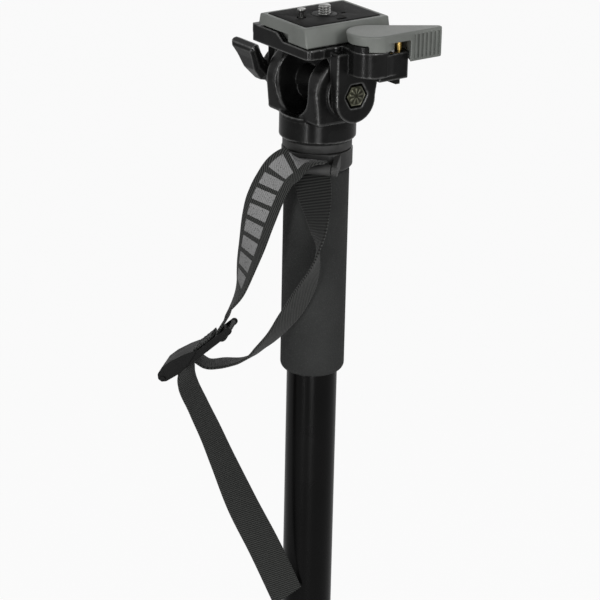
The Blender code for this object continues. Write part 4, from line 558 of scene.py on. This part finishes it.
def roundFaces(mesh, cylinders):
    # lifts the flats of known cylinders to their true radius, fading out below it
    spots = numpy.empty(len(mesh.vertices) * 3)
    mesh.vertices.foreach_get("co", spots)
    spots = spots.reshape(-1, 3)
    depths = roundRules["depths"]
    for axis, centre, radius, (start, end) in cylinders:
        along = "XYZ".index(axis)
        first, second = [index for index in range(3) if index != along]
        offset = spots[:, (first, second)] - (centre[first], centre[second])
        reach = numpy.hypot(offset[:, 0], offset[:, 1])
        flat = radius * (1 - math.cos(math.pi / roundRules["flats"])) * roundRules["slack"]
        low = radius - depths * flat
        wanted = numpy.where(reach > radius - flat, radius, low + (reach - low) * depths / (depths - 1))
        chosen = (reach > low) & (reach < radius + flat) & (spots[:, along] > start) & (spots[:, along] < end)
        share = numpy.where(chosen, wanted / numpy.maximum(reach, 1e-9), 1.0)
        spots[:, first] = centre[first] + offset[:, 0] * share
        spots[:, second] = centre[second] + offset[:, 1] * share
    mesh.vertices.foreach_set("co", spots.ravel())
    mesh.update()


def castNode(node, voxel, rounds, cylinders):
    # the CAD node as a casting, with the small forms that the solids leave out
    slot = slotOf[node]
    # black castings take the finish with the painted edge highlight
    paint = materials["rubbed_casting"] if slot == "black_casting" else None
    mesh = addShapes(mergedCopy(node), castAdded.get(node, ()))
    piece = addPiece(node + "_cast", mesh, slot, bodyOf[node], paint)
    easeSkin(piece, castCut.get(node, ()), voxel, rounds)
    for rim in castRims.get(node, ()):
        easeRim(piece, *rim)
    roundFaces(piece.data, cylinders)
    piece.data.shade_smooth()
    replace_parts(piece, node)
    return piece


# Rows of small things along a path, by geometry nodes

rowShape = {"ball": {"Segments": 10, "Rings": 6, "Radius": 0.5}, "softAngle": math.radians(40)}


def rowTree(shape):
    # marks of one size, facing and form at each step of a path, with some disorder
    tree = bpy.data.node_groups.new("marksOnPath", "GeometryNodeTree")
    for name, kind in (("Path", "Geometry"), ("Step", "Float"), ("Size", "Vector"), ("Facing", "Vector"),
                       ("Round", "Bool"), ("Disorder", "Float"), ("Seed", "Int"), ("Material", "Material")):
        tree.interface.new_socket(name=name, in_out="INPUT", socket_type="NodeSocket" + kind)
    tree.interface.new_socket(name="Marks", in_out="OUTPUT", socket_type="NodeSocketGeometry")

    def node(kind, inputs=None, **settings):
        return addNode(tree, kind, inputs, **settings)

    given = node("NodeGroupInput")
    curve = node("GeometryNodeMeshToCurve", {"Mesh": given["Path"]})
    spaced = node("GeometryNodeResampleCurve", {"Curve": curve["Curve"], "Length": given["Step"]}, mode="LENGTH")
    cube, ball = node("GeometryNodeMeshCube"), node("GeometryNodeMeshUVSphere", shape["ball"])
    form = node("GeometryNodeSwitch", {"Switch": given["Round"], "False": cube["Mesh"], "True": ball["Mesh"]},
                input_type="GEOMETRY")
    tangent = node("GeometryNodeInputTangent")["Tangent"]
    alongPath = node("FunctionNodeAlignRotationToVector", {"Vector": tangent}, axis="X")
    facing = node("FunctionNodeAlignRotationToVector", {"Rotation": alongPath["Rotation"], "Vector": given["Facing"]},
                  axis="Z", pivot_axis="X")
    chance = node("FunctionNodeRandomValue", {"Min": (-1, -1, -1), "Max": (1, 1, 1), "Seed": given["Seed"]},
                  data_type="FLOAT_VECTOR")
    swing = node("ShaderNodeVectorMath", {0: chance["Value"], "Scale": given["Disorder"]}, operation="SCALE")
    swung = node("FunctionNodeEulerToRotation", {"Euler": swing["Vector"]})
    turned = node("FunctionNodeRotateRotation", {"Rotation": facing["Rotation"], "Rotate By": swung["Rotation"]},
                  rotation_space="LOCAL")
    placed = node("GeometryNodeInstanceOnPoints", {"Points": spaced["Curve"], "Instance": form["Output"],
                                                   "Rotation": turned["Rotation"], "Scale": given["Size"]})
    real = node("GeometryNodeRealizeInstances", {"Geometry": placed["Instances"]})
    painted = node("GeometryNodeSetMaterial", {"Geometry": real["Geometry"], "Material": given["Material"]})
    node("NodeGroupOutput", {"Marks": painted["Geometry"]})
    return tree


marksTree = rowTree(rowShape)


def marksAlong(name, paths, slot, body, row, material=None):
    # paths are pairs of ends, and row gives the tree's inputs by name
    mesh = bmesh.new()
    for path in paths:
        mesh.edges.new([mesh.verts.new(spot) for spot in path])
    piece = addPiece(name, mesh, slot, body, material)
    values = {"Disorder": 0.0, "Seed": 7, **row, "Material": piece.data.materials[0]}
    modifier = addModifier(piece, "NODES", node_group=marksTree)
    for item in marksTree.interface.items_tree:
        if item.name in values:
            modifier[item.identifier] = values[item.name]
    piece.update_tag()
    applyModifiers(piece)
    shadeSoft(piece, rowShape["softAngle"])


# Castings and plain nodes

earShape = {"sides": (-0.028, 0.028), "half": 0.00245, "low": 0.6712, "radius": 0.0123, "hollow": 0.009}
earOutline = (arcPairs((tiltAxis[1], earShape["low"]), earShape["radius"], 180, 360)
              + arcPairs(tiltAxis[1:], earShape["hollow"], 360, 180))
blockOutline = [(0.0255, 0.0058), (0.0436, 0.0058)] + arcPairs(clampHub, 0.0198, 63.9, 118.3)
blendOutline = [(0.0455, 0.0086), (0.045, 0.011), (0.0441, 0.014), (0.0436, 0.018), (0.038, 0.01)]
frictionOutline = arcPairs((0.0015, 0.6713), 0.006, 0, 180) + arcPairs((0.0015, 0.6683), 0.006, 180, 360)
castAdded = {
    # the friction block under the sleeve; fuller ears; a wider block beside the clamp's barrel, blended into it
    "yoke": [drawn("X", frictionOutline, -0.0132, 0.0132)],
    "platform": [drawn("X", earOutline, side - earShape["half"], side + earShape["half"]) for side in earShape["sides"]]
    + [drawn("Z", blockOutline, 0.6828, 0.6968), drawn("Z", blendOutline, 0.6856, 0.6968)],
}
footOutline = [(0.023, 0.67), (0.0167, 0.67), (0.0092, 0.6573), (0.023, 0.6573)]
collarOutline = arcPairs((0, 0), 0.0202, 20, 160) + [(-0.03, 0.0069), (-0.03, 0.03), (0.03, 0.03),
                                                     (0.03, 0.0069)]
notchOutline = arcPairs(clampHub, 0.014, -140, -41) + arcPairs(clampHub, 0.0085, -41, -140)
castCut = {
    # the cheeks' far feet draw in towards the collar; a notch in the hub's skirt
    "yoke": [drawn("X", footOutline, -0.024, 0.024), drawn("Z", collarOutline, 0.6535, 0.6582)],
    "clamp_lever": [drawn("Z", notchOutline, 0.698, 0.7024)],
}
castSizes = {
    # voxel, rounds of easing, and true cylinders as axis, centre, radius and (start, end) along the axis
    "platform": (0.00042, 5, [("Z", clampHub, 0.0108, (0.685, 0.699)), ("Z", clampHub, 0.0199, (0.6826, 0.697)),
                              ("X", tiltAxis, 0.0123, (0.0245, 0.0315)), ("X", tiltAxis, 0.0123, (-0.0315, -0.0245))]),
    "yoke": (0.00042, 6, [("Z", (0, 0, 0), 0.0201, (0.645, 0.657)), ("X", cheekAxis, 0.0186, (-0.001, 0.001)),
                          ("X", tiltAxis, 0.00675, (-0.0135, 0.0135)), ("X", tiltAxis, 0.013, (-0.0245, 0.0245))]),
    "lock_lever": (0.00036, 6, [("X", tiltAxis, 0.011, (-0.04, -0.03))]),
    "clamp_lever": (0.0003, 3, [("Z", clampHub, 0.0123, (0.699, 0.7085)), ("Z", clampHub, 0.0204, (0.692, 0.708))]),
    "strap_collar": (0.00036, 3, [("Z", (0, 0, 0), 0.0186, (0.628, 0.6405))]),
    "upper_lock_lever": (0.00036, 3, []),
    "lower_lock_lever": (0.00036, 3, []),
}
castRims = {
    # rounds of easing, the box that they keep to, an axis along X, and how far from it they start
    "yoke": [(40, ((-0.024, 0.024), (-0.025, 0.025), (0.6588, 0.7)), tiltAxis, 0.0138)],
    "platform": [(10, ((0.0285, 0.032), (-0.015, 0.019), (0.656, 0.684)), tiltAxis, 0.0085),
                 (10, ((-0.032, -0.0285), (-0.015, 0.019), (0.656, 0.684)), tiltAxis, 0.0085)],
}
castPieces = {node: castNode(node, *sizes) for node, sizes in castSizes.items()}
print("castings eased")


# Clamp lever: its hub draws in below, a black stop fills the notch, and ribs stand on the finger

clampShape = {
    # the hub draws in over a height and a range of radii, except within armHalf degrees of the arm
    "top": 0.7078, "bottom": 0.6993, "edge": 0.0008, "draw": 0.15, "drawRadii": (0.009, 0.013),
    "armTurn": 75, "armHalf": 75, "drawOver": 30,
    # the stop's two parts: name, radius and turns
    "stops": (("clampStopRim", 0.010881, -139, -77), ("clampStopTooth", 0.0121, -77, -42)),
    "innerRadius": 0.0087, "stopLow": 0.6991, "stopHigh": 0.7022,
    # the finger's tip and hub, whose common tangent is its outer face
    "tip": (0.0448, 0.0412), "tipRadius": 0.0021, "hubRadius": 0.0123,
    "ribs": 7, "ribPitch": 0.0026, "ribWidth": 0.0012, "ribDepth": 0.0016, "ribLow": 0.6938, "ribHigh": 0.7062,
    "ribOut": 0.0022, "ribStart": 0.0004, "ribEnd": 0.0005,
}


def drawInHub(shape):
    mesh = castPieces["clamp_lever"].data
    nearest, farthest = shape["drawRadii"]
    for vertex in mesh.vertices:
        offset = Vector((vertex.co.x - clampHub[0], vertex.co.y - clampHub[1]))
        if not nearest < offset.length < farthest:
            continue
        turn = abs(math.degrees(math.atan2(offset.y, offset.x)) - shape["armTurn"])
        away = numpy.clip((min(turn, 360 - turn) - shape["armHalf"]) / shape["drawOver"], 0, 1)
        fall = numpy.clip((shape["top"] - shape["edge"] - vertex.co.z) / (shape["top"] - shape["bottom"]), 0, 1)
        offset *= 1 - shape["draw"] * away * fall
        vertex.co.x, vertex.co.y = clampHub[0] + offset.x, clampHub[1] + offset.y
    mesh.update()


def addStop(shape):
    for name, radius, start, end in shape["stops"]:
        outline = arcPairs(clampHub, radius, start, end) + arcPairs(clampHub, shape["innerRadius"], end, start)
        stop = addPiece(name, drawn("Z", outline, shape["stopLow"], shape["stopHigh"]), "black_casting", "plate_clamp")
        shadeSoft(stop)


def addRibs(shape):
    # upright ribs on the finger's outer face, which runs from the tip towards the hub
    tip = Vector((*shape["tip"], 0))
    away = tip - Vector(clampHub)
    lean = math.atan2(away.y, away.x) - math.acos((shape["hubRadius"] - shape["tipRadius"]) / away.length)
    normal = Vector((math.cos(lean), math.sin(lean), 0))
    along = Vector((-normal.y, normal.x, 0))
    start = Vector((*shape["tip"], (shape["ribLow"] + shape["ribHigh"]) / 2)) + normal * shape["ribOut"]
    length = shape["ribPitch"] * (shape["ribs"] - 1)
    path = [start - along * shape["ribStart"], start - along * (length + shape["ribEnd"])]
    size = (shape["ribWidth"], shape["ribHigh"] - shape["ribLow"], shape["ribDepth"])
    marksAlong("clampFingerRibs", [path], "grey_plate", "plate_clamp",
               {"Step": shape["ribPitch"], "Size": size, "Facing": tuple(normal), "Round": False})


drawInHub(clampShape)
addStop(clampShape)
addRibs(clampShape)
print("clamp lever finished")


# Plain nodes: how far their edges are broken

handMade = {"wrist_strap", "foam_grip", "camera_screw", "buckle_frame", "buckle_cam", "buckle_pin"}
plainWidth = 0.00018
dressWidths = {"upper_tube": 0, "middle_tube": 0, "lower_tube": 0, "anti_twist_spring": 0, "trigger_spring": 0,
               "quick_release_plate": 0.00035, "plate_pad": 0.0002, "rubber_foot": 0.0004, "screw_ring": 0}
for node in nodes:
    if node not in castSizes and node not in handMade:
        dressNode(node, dressWidths.get(node, plainWidth))
for name in ("strap_collar_cast", "pole_cap_dressed", "strap_pin_dressed"):
    bpy.data.objects[name].data.materials[0] = materials["collar_plastic"]
print("other nodes dressed")


# Foam grip

gripShape = {"radius": 0.0171, "bore": 0.0138, "bottom": 0.515, "top": 0.6286, "endRound": 0.004, "topRound": 0.0012,
             "endSteps": 8, "topSteps": 4, "rows": 60, "steps": 96, "softAngle": math.radians(50)}


def makeGrip(shape):
    bore, radius, low, high = shape["bore"], shape["radius"], shape["endRound"], shape["topRound"]
    start, end = shape["bottom"] + low, shape["top"] - high
    lower = arcPairs((radius - low, start), low, -90, 0, shape["endSteps"])
    upper = arcPairs((radius - high, end), high, 0, 90, shape["topSteps"])
    middle = [(radius, start + (end - start) * row / shape["rows"]) for row in range(1, shape["rows"])]
    profile = [(bore, shape["bottom"])] + [(max(bore, reach), height) for reach, height in lower]
    profile += middle + upper + [(bore, shape["top"])]
    piece = addPiece("foamGripSleeve", turnedMesh(profile, (0, 0), shape["steps"], "joined"), "grip_foam", "pole")
    shadeSoft(piece, shape["softAngle"])
    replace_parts(piece, "foam_grip")


makeGrip(gripShape)
print("grip made")


# Camera screw: a real thread above its head

screwShape = {"centre": (0.0005, 0.0023), "radius": 0.003175, "depth": 0.0006, "pitch": 0.00127, "bottom": 0.7052,
              "top": 0.7145, "chamfer": 0.0006, "flank": 1.25, "steps": 48, "rows": 96,
              "headRadius": 0.007, "headBottom": 0.7026, "headEdge": 0.0003, "headSteps": 64,
              "softAngle": math.radians(60)}


def makeScrew(shape):
    centre, bottom, top = shape["centre"], shape["bottom"], shape["top"]

    def threadSpot(height, turn):
        ridge = abs((height / shape["pitch"] - turn / math.tau) % 1 * 2 - 1)
        radius = shape["radius"] - shape["depth"] * (1 - min(1, ridge * shape["flank"]))
        radius = min(radius, shape["radius"] - shape["chamfer"] + top - height)
        return (*around(centre, radius, turn), height)

    heights = [bottom + (top - bottom) * row / shape["rows"] for row in range(shape["rows"] + 1)]
    turns = [math.tau * step / shape["steps"] for step in range(shape["steps"])]
    thread = ringMesh([[threadSpot(height, turn) for turn in turns] for height in heights])
    screw = addPiece("cameraScrewThread", thread, "bright_steel", "screw")
    shadeSoft(screw, shape["softAngle"])
    reach, low, edge = shape["headRadius"], shape["headBottom"], shape["headEdge"]
    profile = [(0, low), (reach - edge, low), (reach, low + edge), (reach, bottom - edge), (reach - edge, bottom),
               (0, bottom)]
    head = turnedMesh(profile, centre, shape["headSteps"])
    shadeSoft(addPiece("cameraScrewHead", head, "bright_steel", "screw"))
    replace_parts(screw, "camera_screw")


makeScrew(screwShape)
print("camera screw made")


# Wrist strap: one length of webbing along its route. Places are given as right of the pole in the camera's view,
# out towards the camera, and down from the collar.

strapShape = {"width": 0.019, "thickness": 0.0014, "viewTurn": math.radians(-36.3), "seatHeight": 0.6453, "steps": 10,
              "gap": 0.0003, "sewnLean": math.radians(147), "tailTurn": 0.7, "softAngle": math.radians(50),
              # flat faces with rounded selvedges, as shares of the half width and half thickness
              "section": ((-0.86, -1.0), (0.86, -1.0), (0.955, -0.86), (1.0, -0.36), (1.0, 0.36), (0.955, 0.86),
                          (0.86, 1.0), (-0.86, 1.0), (-0.955, 0.86), (-1.0, 0.36), (-1.0, -0.36), (-0.955, -0.86))}
buckleShape = {
    # the middle of the bar that the strap is sewn round, and the lie of the frame and of the cam
    "start": (-0.047, 0.017, -0.10465), "slope": math.radians(40.5), "camSlope": math.radians(34.5),
    "tilt": math.radians(10.0), "length": 0.0404, "camBarShare": 0.58,
    # the rails, and the three bars between them: place along the buckle and radius
    "inner": 0.0101, "outer": 0.0123, "depth": 0.0018, "railStart": -0.0052, "railEnd": 0.03,
    "bars": ((-0.0052, 0.0013), (0, 0.0015), (0.023432, 0.0015)), "barSink": 0.0006, "barRadius": 0.0015,
    # the cam: its side view as along and rise, its half width, the room inside it, and the pin at its far end
    "cam": ((0.0146, 0.003), (0.0157, 0.004), (0.0205, 0.005), (0.0285, 0.0057), (0.0345, 0.0052),
            (0.0386, 0.0034), (0.0404, 0.0008), (0.04, -0.0014), (0.038, -0.0025), (0.029, -0.0027),
            (0.0225, -0.0008), (0.0165, 0.0018)),
    "skirt": 0.0137, "clearance": 0.0003,
    "hollow": ((0.0126, -0.006), (0.0421, -0.006), (0.0421, 0.0012), (0.0352, 0.0038), (0.0126, 0.0038)),
    "pin": 0.0012, "pinAlong": 0.038, "pinReach": 0.0009,
    "roundSteps": 20, "endSteps": 10, "voxel": 0.00028, "frameRounds": 4, "camRounds": 14,
}


def strapPlace(right, out, down):
    turn = Matrix.Rotation(strapShape["viewTurn"], 3, "Z")
    return turn @ Vector((out, right, 0)) + Vector((0, 0, strapShape["seatHeight"] + down))


def bucklePlace(along, out, rise, swung=False):
    # a place on the buckle's frame, or on its cam, which leans out a little from the bar under it
    shape, tilt, slope = buckleShape, buckleShape["tilt"], buckleShape["slope"]
    if swung:
        bar = shape["length"] * shape["camBarShare"]
        lean = slope - shape["camSlope"]
        past = along - bar
        along = bar + past * math.cos(lean) + rise * math.sin(lean)
        rise = rise * math.cos(lean) + past * math.sin(lean)
    off = rise * math.cos(tilt) + out * math.sin(tilt)
    towards = out * math.cos(tilt) - rise * math.sin(tilt)
    right = -along * math.cos(slope) - off * math.sin(slope)
    down = -along * math.sin(slope) + off * math.cos(slope)
    start = shape["start"]
    return strapPlace(start[0] + right, start[1] + towards, start[2] + down)


def buckleSpots(spots):
    across = bucklePlace(0, 1, 0) - bucklePlace(0, 0, 0)
    return [(bucklePlace(along, 0, rise), across) for along, rise in spots]


# each row: right, out and down of the strap's middle, then of its width's direction
frontRun = (
    (-0.0382, 0.019, -0.0767, 0.27, 0.95, 0),
    (-0.0357, 0.02, -0.0657, 0.5, 0.86, 0),
    (-0.0327, 0.021, -0.0531, 0.7, 0.7, 0),
    (-0.0295, 0.0225, -0.0387, 0.88, 0.46, 0),
    (-0.0265, 0.024, -0.0283, 0.97, 0.2, 0),
    (-0.0225, 0.026, -0.0184, 1, 0.06, -0.08),
    (-0.0172, 0.0285, -0.01, 0.96, 0.2, -0.22),
    (-0.0105, 0.0275, -0.0062, 0.94, 0.28, -0.16),
    # over the collar's pin, which lies at -0.0042, 0.0212 and -0.0118
    (-0.0054, 0.0232, -0.0072, 0.98, 0.19, -0.03),
    (-0.0038, 0.018218, -0.008818, 0.98, 0.19, 0),
    (-0.0032, 0.017, -0.0118, 0.98, 0.19, 0),
)
backRun = (
    (-0.0022, 0.0182, -0.018, 0.98, 0.19, 0),
    (-0.0005, 0.0212, -0.0276, 0.88, 0.47, 0),
    (0.0008, 0.024, -0.0366, 0.64, 0.77, 0),
    (0.0014, 0.0262, -0.0448, 0.4, 0.92, 0),
    (0.0013, 0.0278, -0.054, 0, 1, 0),
    (-0.0027, 0.028, -0.0706, -0.34, 0.82, 0.44),
    (-0.0072, 0.027, -0.0813, -0.38, 0.74, 0.55),
    (-0.0127, 0.0258, -0.0915, -0.38, 0.75, 0.54),
    (-0.0194, 0.024, -0.102, -0.22, 0.83, 0.51),
    (-0.0267, 0.022, -0.1107, -0.1, 0.88, 0.46),
    (-0.0329, 0.0205, -0.1169, -0.02, 0.93, 0.37),
    (-0.0382, 0.0192, -0.12, 0, 0.96, 0.27),
    (-0.0466, 0.018, -0.1218, -0.03, 0.99, 0.12),
)
tailRun = (
    (-0.0665, 0.0165, -0.132, -0.42, 0.91, 0),
    (-0.0603, 0.0165, -0.1477, -0.46, 0.89, 0),
    (-0.0535, 0.0165, -0.163, -0.52, 0.86, 0),
    (-0.0473, 0.017, -0.178, -0.6, 0.8, 0),
    (-0.0359, 0.0178, -0.2046, -0.79, 0.61, 0),
    (-0.0239, 0.019, -0.2285, -0.84, 0.54, 0),
    (-0.0105, 0.02, -0.258, -0.86, 0.51, 0),
)
# round the sewn bar, up and to the side in bends; under the cam's bar, past it and risen in bends
sewnTurn = ((0.8, -0.96), (0, -1), (-0.71, -0.71), (-1, 0), (-0.71, 0.71), (0, 1), (0.8, 0.93), (1.8, 0.62))
sewnLap = (3.0, 4.6)
camTurn = ((-2.1, -3.0), (-1.5, -1.4), (-0.78, 0.62), (0, 1), (0.71, 0.71), (1, 0))
camDrop = 1.3


def strapRoute(shape):
    # lengths in bends: the radius at which the webbing's middle turns round a bar
    bend = buckleShape["barRadius"] + shape["gap"] + shape["thickness"] / 2
    lap = (shape["thickness"] + shape["gap"]) / 2
    cosine, sine = math.cos(shape["sewnLean"]), math.sin(shape["sewnLean"])
    turns = sewnTurn + tuple((up, lap / bend) for up in sewnLap)
    sewn = [(bend * (up * cosine + side * sine), bend * (up * sine - side * cosine)) for up, side in turns]
    bar = buckleShape["length"] * buckleShape["camBarShare"]
    slope = buckleShape["slope"]
    below = [(bar + past * bend, rise * bend) for past, rise in camTurn]
    below.append((bar + bend + camDrop * bend * math.sin(slope), -camDrop * bend * math.cos(slope)))

    def placed(rows):
        origin = strapPlace(0, 0, 0)
        return [(strapPlace(*row[:3]), strapPlace(*row[3:]) - origin) for row in rows]

    below, tail = buckleSpots(below), placed(tailRun)
    middle, width = below[-1]
    below[-1] = (middle, width.normalized().lerp(tail[0][1].normalized(), shape["tailTurn"]))
    return buckleSpots(sewn) + placed(frontRun + backRun) + below + tail


def smoothRun(values, steps):
    # a smooth run through uneven spots: the slope at each is weighted by the distances on either side
    spots = numpy.array(values)
    spans = numpy.linalg.norm(numpy.diff(spots[:, :3], axis=0), axis=1)[:, None]
    rates = numpy.diff(spots, axis=0) / spans
    inner = (rates[:-1] * spans[1:] + rates[1:] * spans[:-1]) / (spans[:-1] + spans[1:])
    slopes = numpy.vstack((rates[:1], inner, rates[-1:]))
    t = numpy.arange(steps)[:, None] / steps
    share = 3 * t ** 2 - 2 * t ** 3
    run = []
    for number, span in enumerate(spans):
        bends = slopes[number] * (t ** 3 - 2 * t ** 2 + t) + slopes[number + 1] * (t ** 3 - t ** 2)
        run.append(spots[number] * (1 - share) + spots[number + 1] * share + bends * span)
    return numpy.vstack((*run, spots[-1:])).tolist()


def makeStrap(name, route, shape):
    run = smoothRun([(*middle, *width.normalized()) for middle, width in route], shape["steps"])
    middles = [Vector(value[:3]) for value in run]
    half, thick, section = shape["width"] / 2, shape["thickness"] / 2, shape["section"]
    rings, lengths = [], [0.0]
    for number, (middle, value) in enumerate(zip(middles, run)):
        before, after = middles[max(number - 1, 0)], middles[min(number + 1, len(run) - 1)]
        along = (after - before).normalized()
        width = Vector(value[3:])
        width = (width - along * width.dot(along)).normalized()
        face = along.cross(width)
        lengths.append(lengths[-1] + (after - middle).length)
        rings.append([middle + width * side * half + face * up * thick for side, up in section])
    mesh = ringMesh(rings)
    mesh.verts.index_update()
    uv = mesh.loops.layers.uv.new("webbing")
    for face in mesh.faces:
        if len(face.verts) > 4:
            continue
        # u: across the width, 0 to 1 on the inner face and 2 to 3 on the outer; v: metres along
        places = [divmod(loop.vert.index, len(section)) for loop in face.loops]
        outer = 0 if sum(section[side][1] for ring, side in places) > 0 else 2
        for loop, (ring, side) in zip(face.loops, places):
            loop[uv].uv = ((section[side][0] + 1) / 2 + outer, lengths[ring])
    piece = addPiece(name, mesh, "strap_webbing", "pole")
    shadeSoft(piece, shape["softAngle"])
    print(name, "length", round(lengths[-1], 4))
    return piece


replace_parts(makeStrap("wristStrapWebbing", strapRoute(strapShape), strapShape), "wrist_strap")
flapShape = {**strapShape, "steps": 4}
flapSpots = ((0.017, 0.0027), (0.013, 0.0027), (0.009, 0.0027), (0.0062, 0.0028), (0.0044, 0.003))
makeStrap("strapEndFlap", buckleSpots(flapSpots), flapShape)
stitchShape = {"out": 0.0072, "start": 0.0072, "end": 0.0138, "rise": 0.0035,
               "row": {"Step": 0.0017, "Size": (0.0013, 0.0004, 0.0003), "Round": True}}
frayShape = {"along": 0.0048, "out": 0.0094, "rise": 0.003, "facing": (-1, 0, 0.6),
             "row": {"Step": 0.0007, "Size": (0.00016, 0.00016, 0.0024), "Round": True, "Disorder": 0.4}}


def finishFlap(stitch, fray):
    # a sewn box with its cross, and loose yarns at the cut end
    def pointing(*way):
        return tuple(bucklePlace(*way) - bucklePlace(0, 0, 0))

    start, end, out = stitch["start"], stitch["end"], stitch["out"]
    corners = [bucklePlace(along, side, stitch["rise"])
               for along, side in ((start, -out), (end, -out), (end, out), (start, out))]
    paths = [[corners[first], corners[last]] for first, last in ((0, 1), (1, 2), (2, 3), (3, 0), (0, 2), (1, 3))]
    edge = [bucklePlace(fray["along"], side, fray["rise"]) for side in (-fray["out"], fray["out"])]
    for name, lines, row, facing in (("strapFlapStitches", paths, stitch["row"], pointing(0, 0, 1)),
                                     ("strapFlapFray", [edge], fray["row"], pointing(*fray["facing"]))):
        marksAlong(name, lines, "strap_webbing", "pole", {**row, "Facing": facing}, materials["strap_thread"])


finishFlap(stitchShape, frayShape)
print("strap made")


# Buckle: a frame with three bars, and a cam that covers its far half

def buckleDrawn(outline, start, end, swung=False):
    # (along, rise) pairs drawn out across the buckle
    return ringMesh([[bucklePlace(along, out, rise, swung) for along, rise in outline] for out in (start, end)])


def moulded(name, node, shapes, cutters, voxel, rounds):
    piece = addPiece(name, addShapes(bmesh.new(), shapes), slotOf[node], bodyOf[node])
    easeSkin(piece, cutters, voxel, rounds)
    piece.data.shade_smooth()
    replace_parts(piece, node)


def makeBuckle(shape):
    inner, outer, depth, side = shape["inner"], shape["outer"], shape["depth"], shape["skirt"]

    def roundBar(along, radius, half, swung=False):
        return buckleDrawn(arcPairs((along, 0), radius, 0, 360, shape["roundSteps"])[:-1], -half, half, swung)

    rail = (arcPairs((shape["railStart"], 0), depth, 90, 270, shape["endSteps"])
            + arcPairs((shape["railEnd"], 0), depth, -90, 90, shape["endSteps"]))
    frameShapes = [buckleDrawn(rail, inner, outer), buckleDrawn(rail, -outer, -inner)]
    frameShapes += [roundBar(along, radius, inner + shape["barSink"]) for along, radius in shape["bars"]]
    moulded("buckleFrameBody", "buckle_frame", frameShapes, (), shape["voxel"], shape["frameRounds"])
    clear = outer + shape["clearance"]
    moulded("buckleCamBody", "buckle_cam", [buckleDrawn(shape["cam"], -side, side, True)],
            [buckleDrawn(shape["hollow"], -clear, clear, True)], shape["voxel"], shape["camRounds"])
    pin = addPiece("bucklePinBody", roundBar(shape["pinAlong"], shape["pin"], side + shape["pinReach"], True),
                   slotOf["buckle_pin"], bodyOf["buckle_pin"])
    shadeSoft(pin)
    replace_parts(pin, "buckle_pin")


makeBuckle(buckleShape)
print("buckle made")
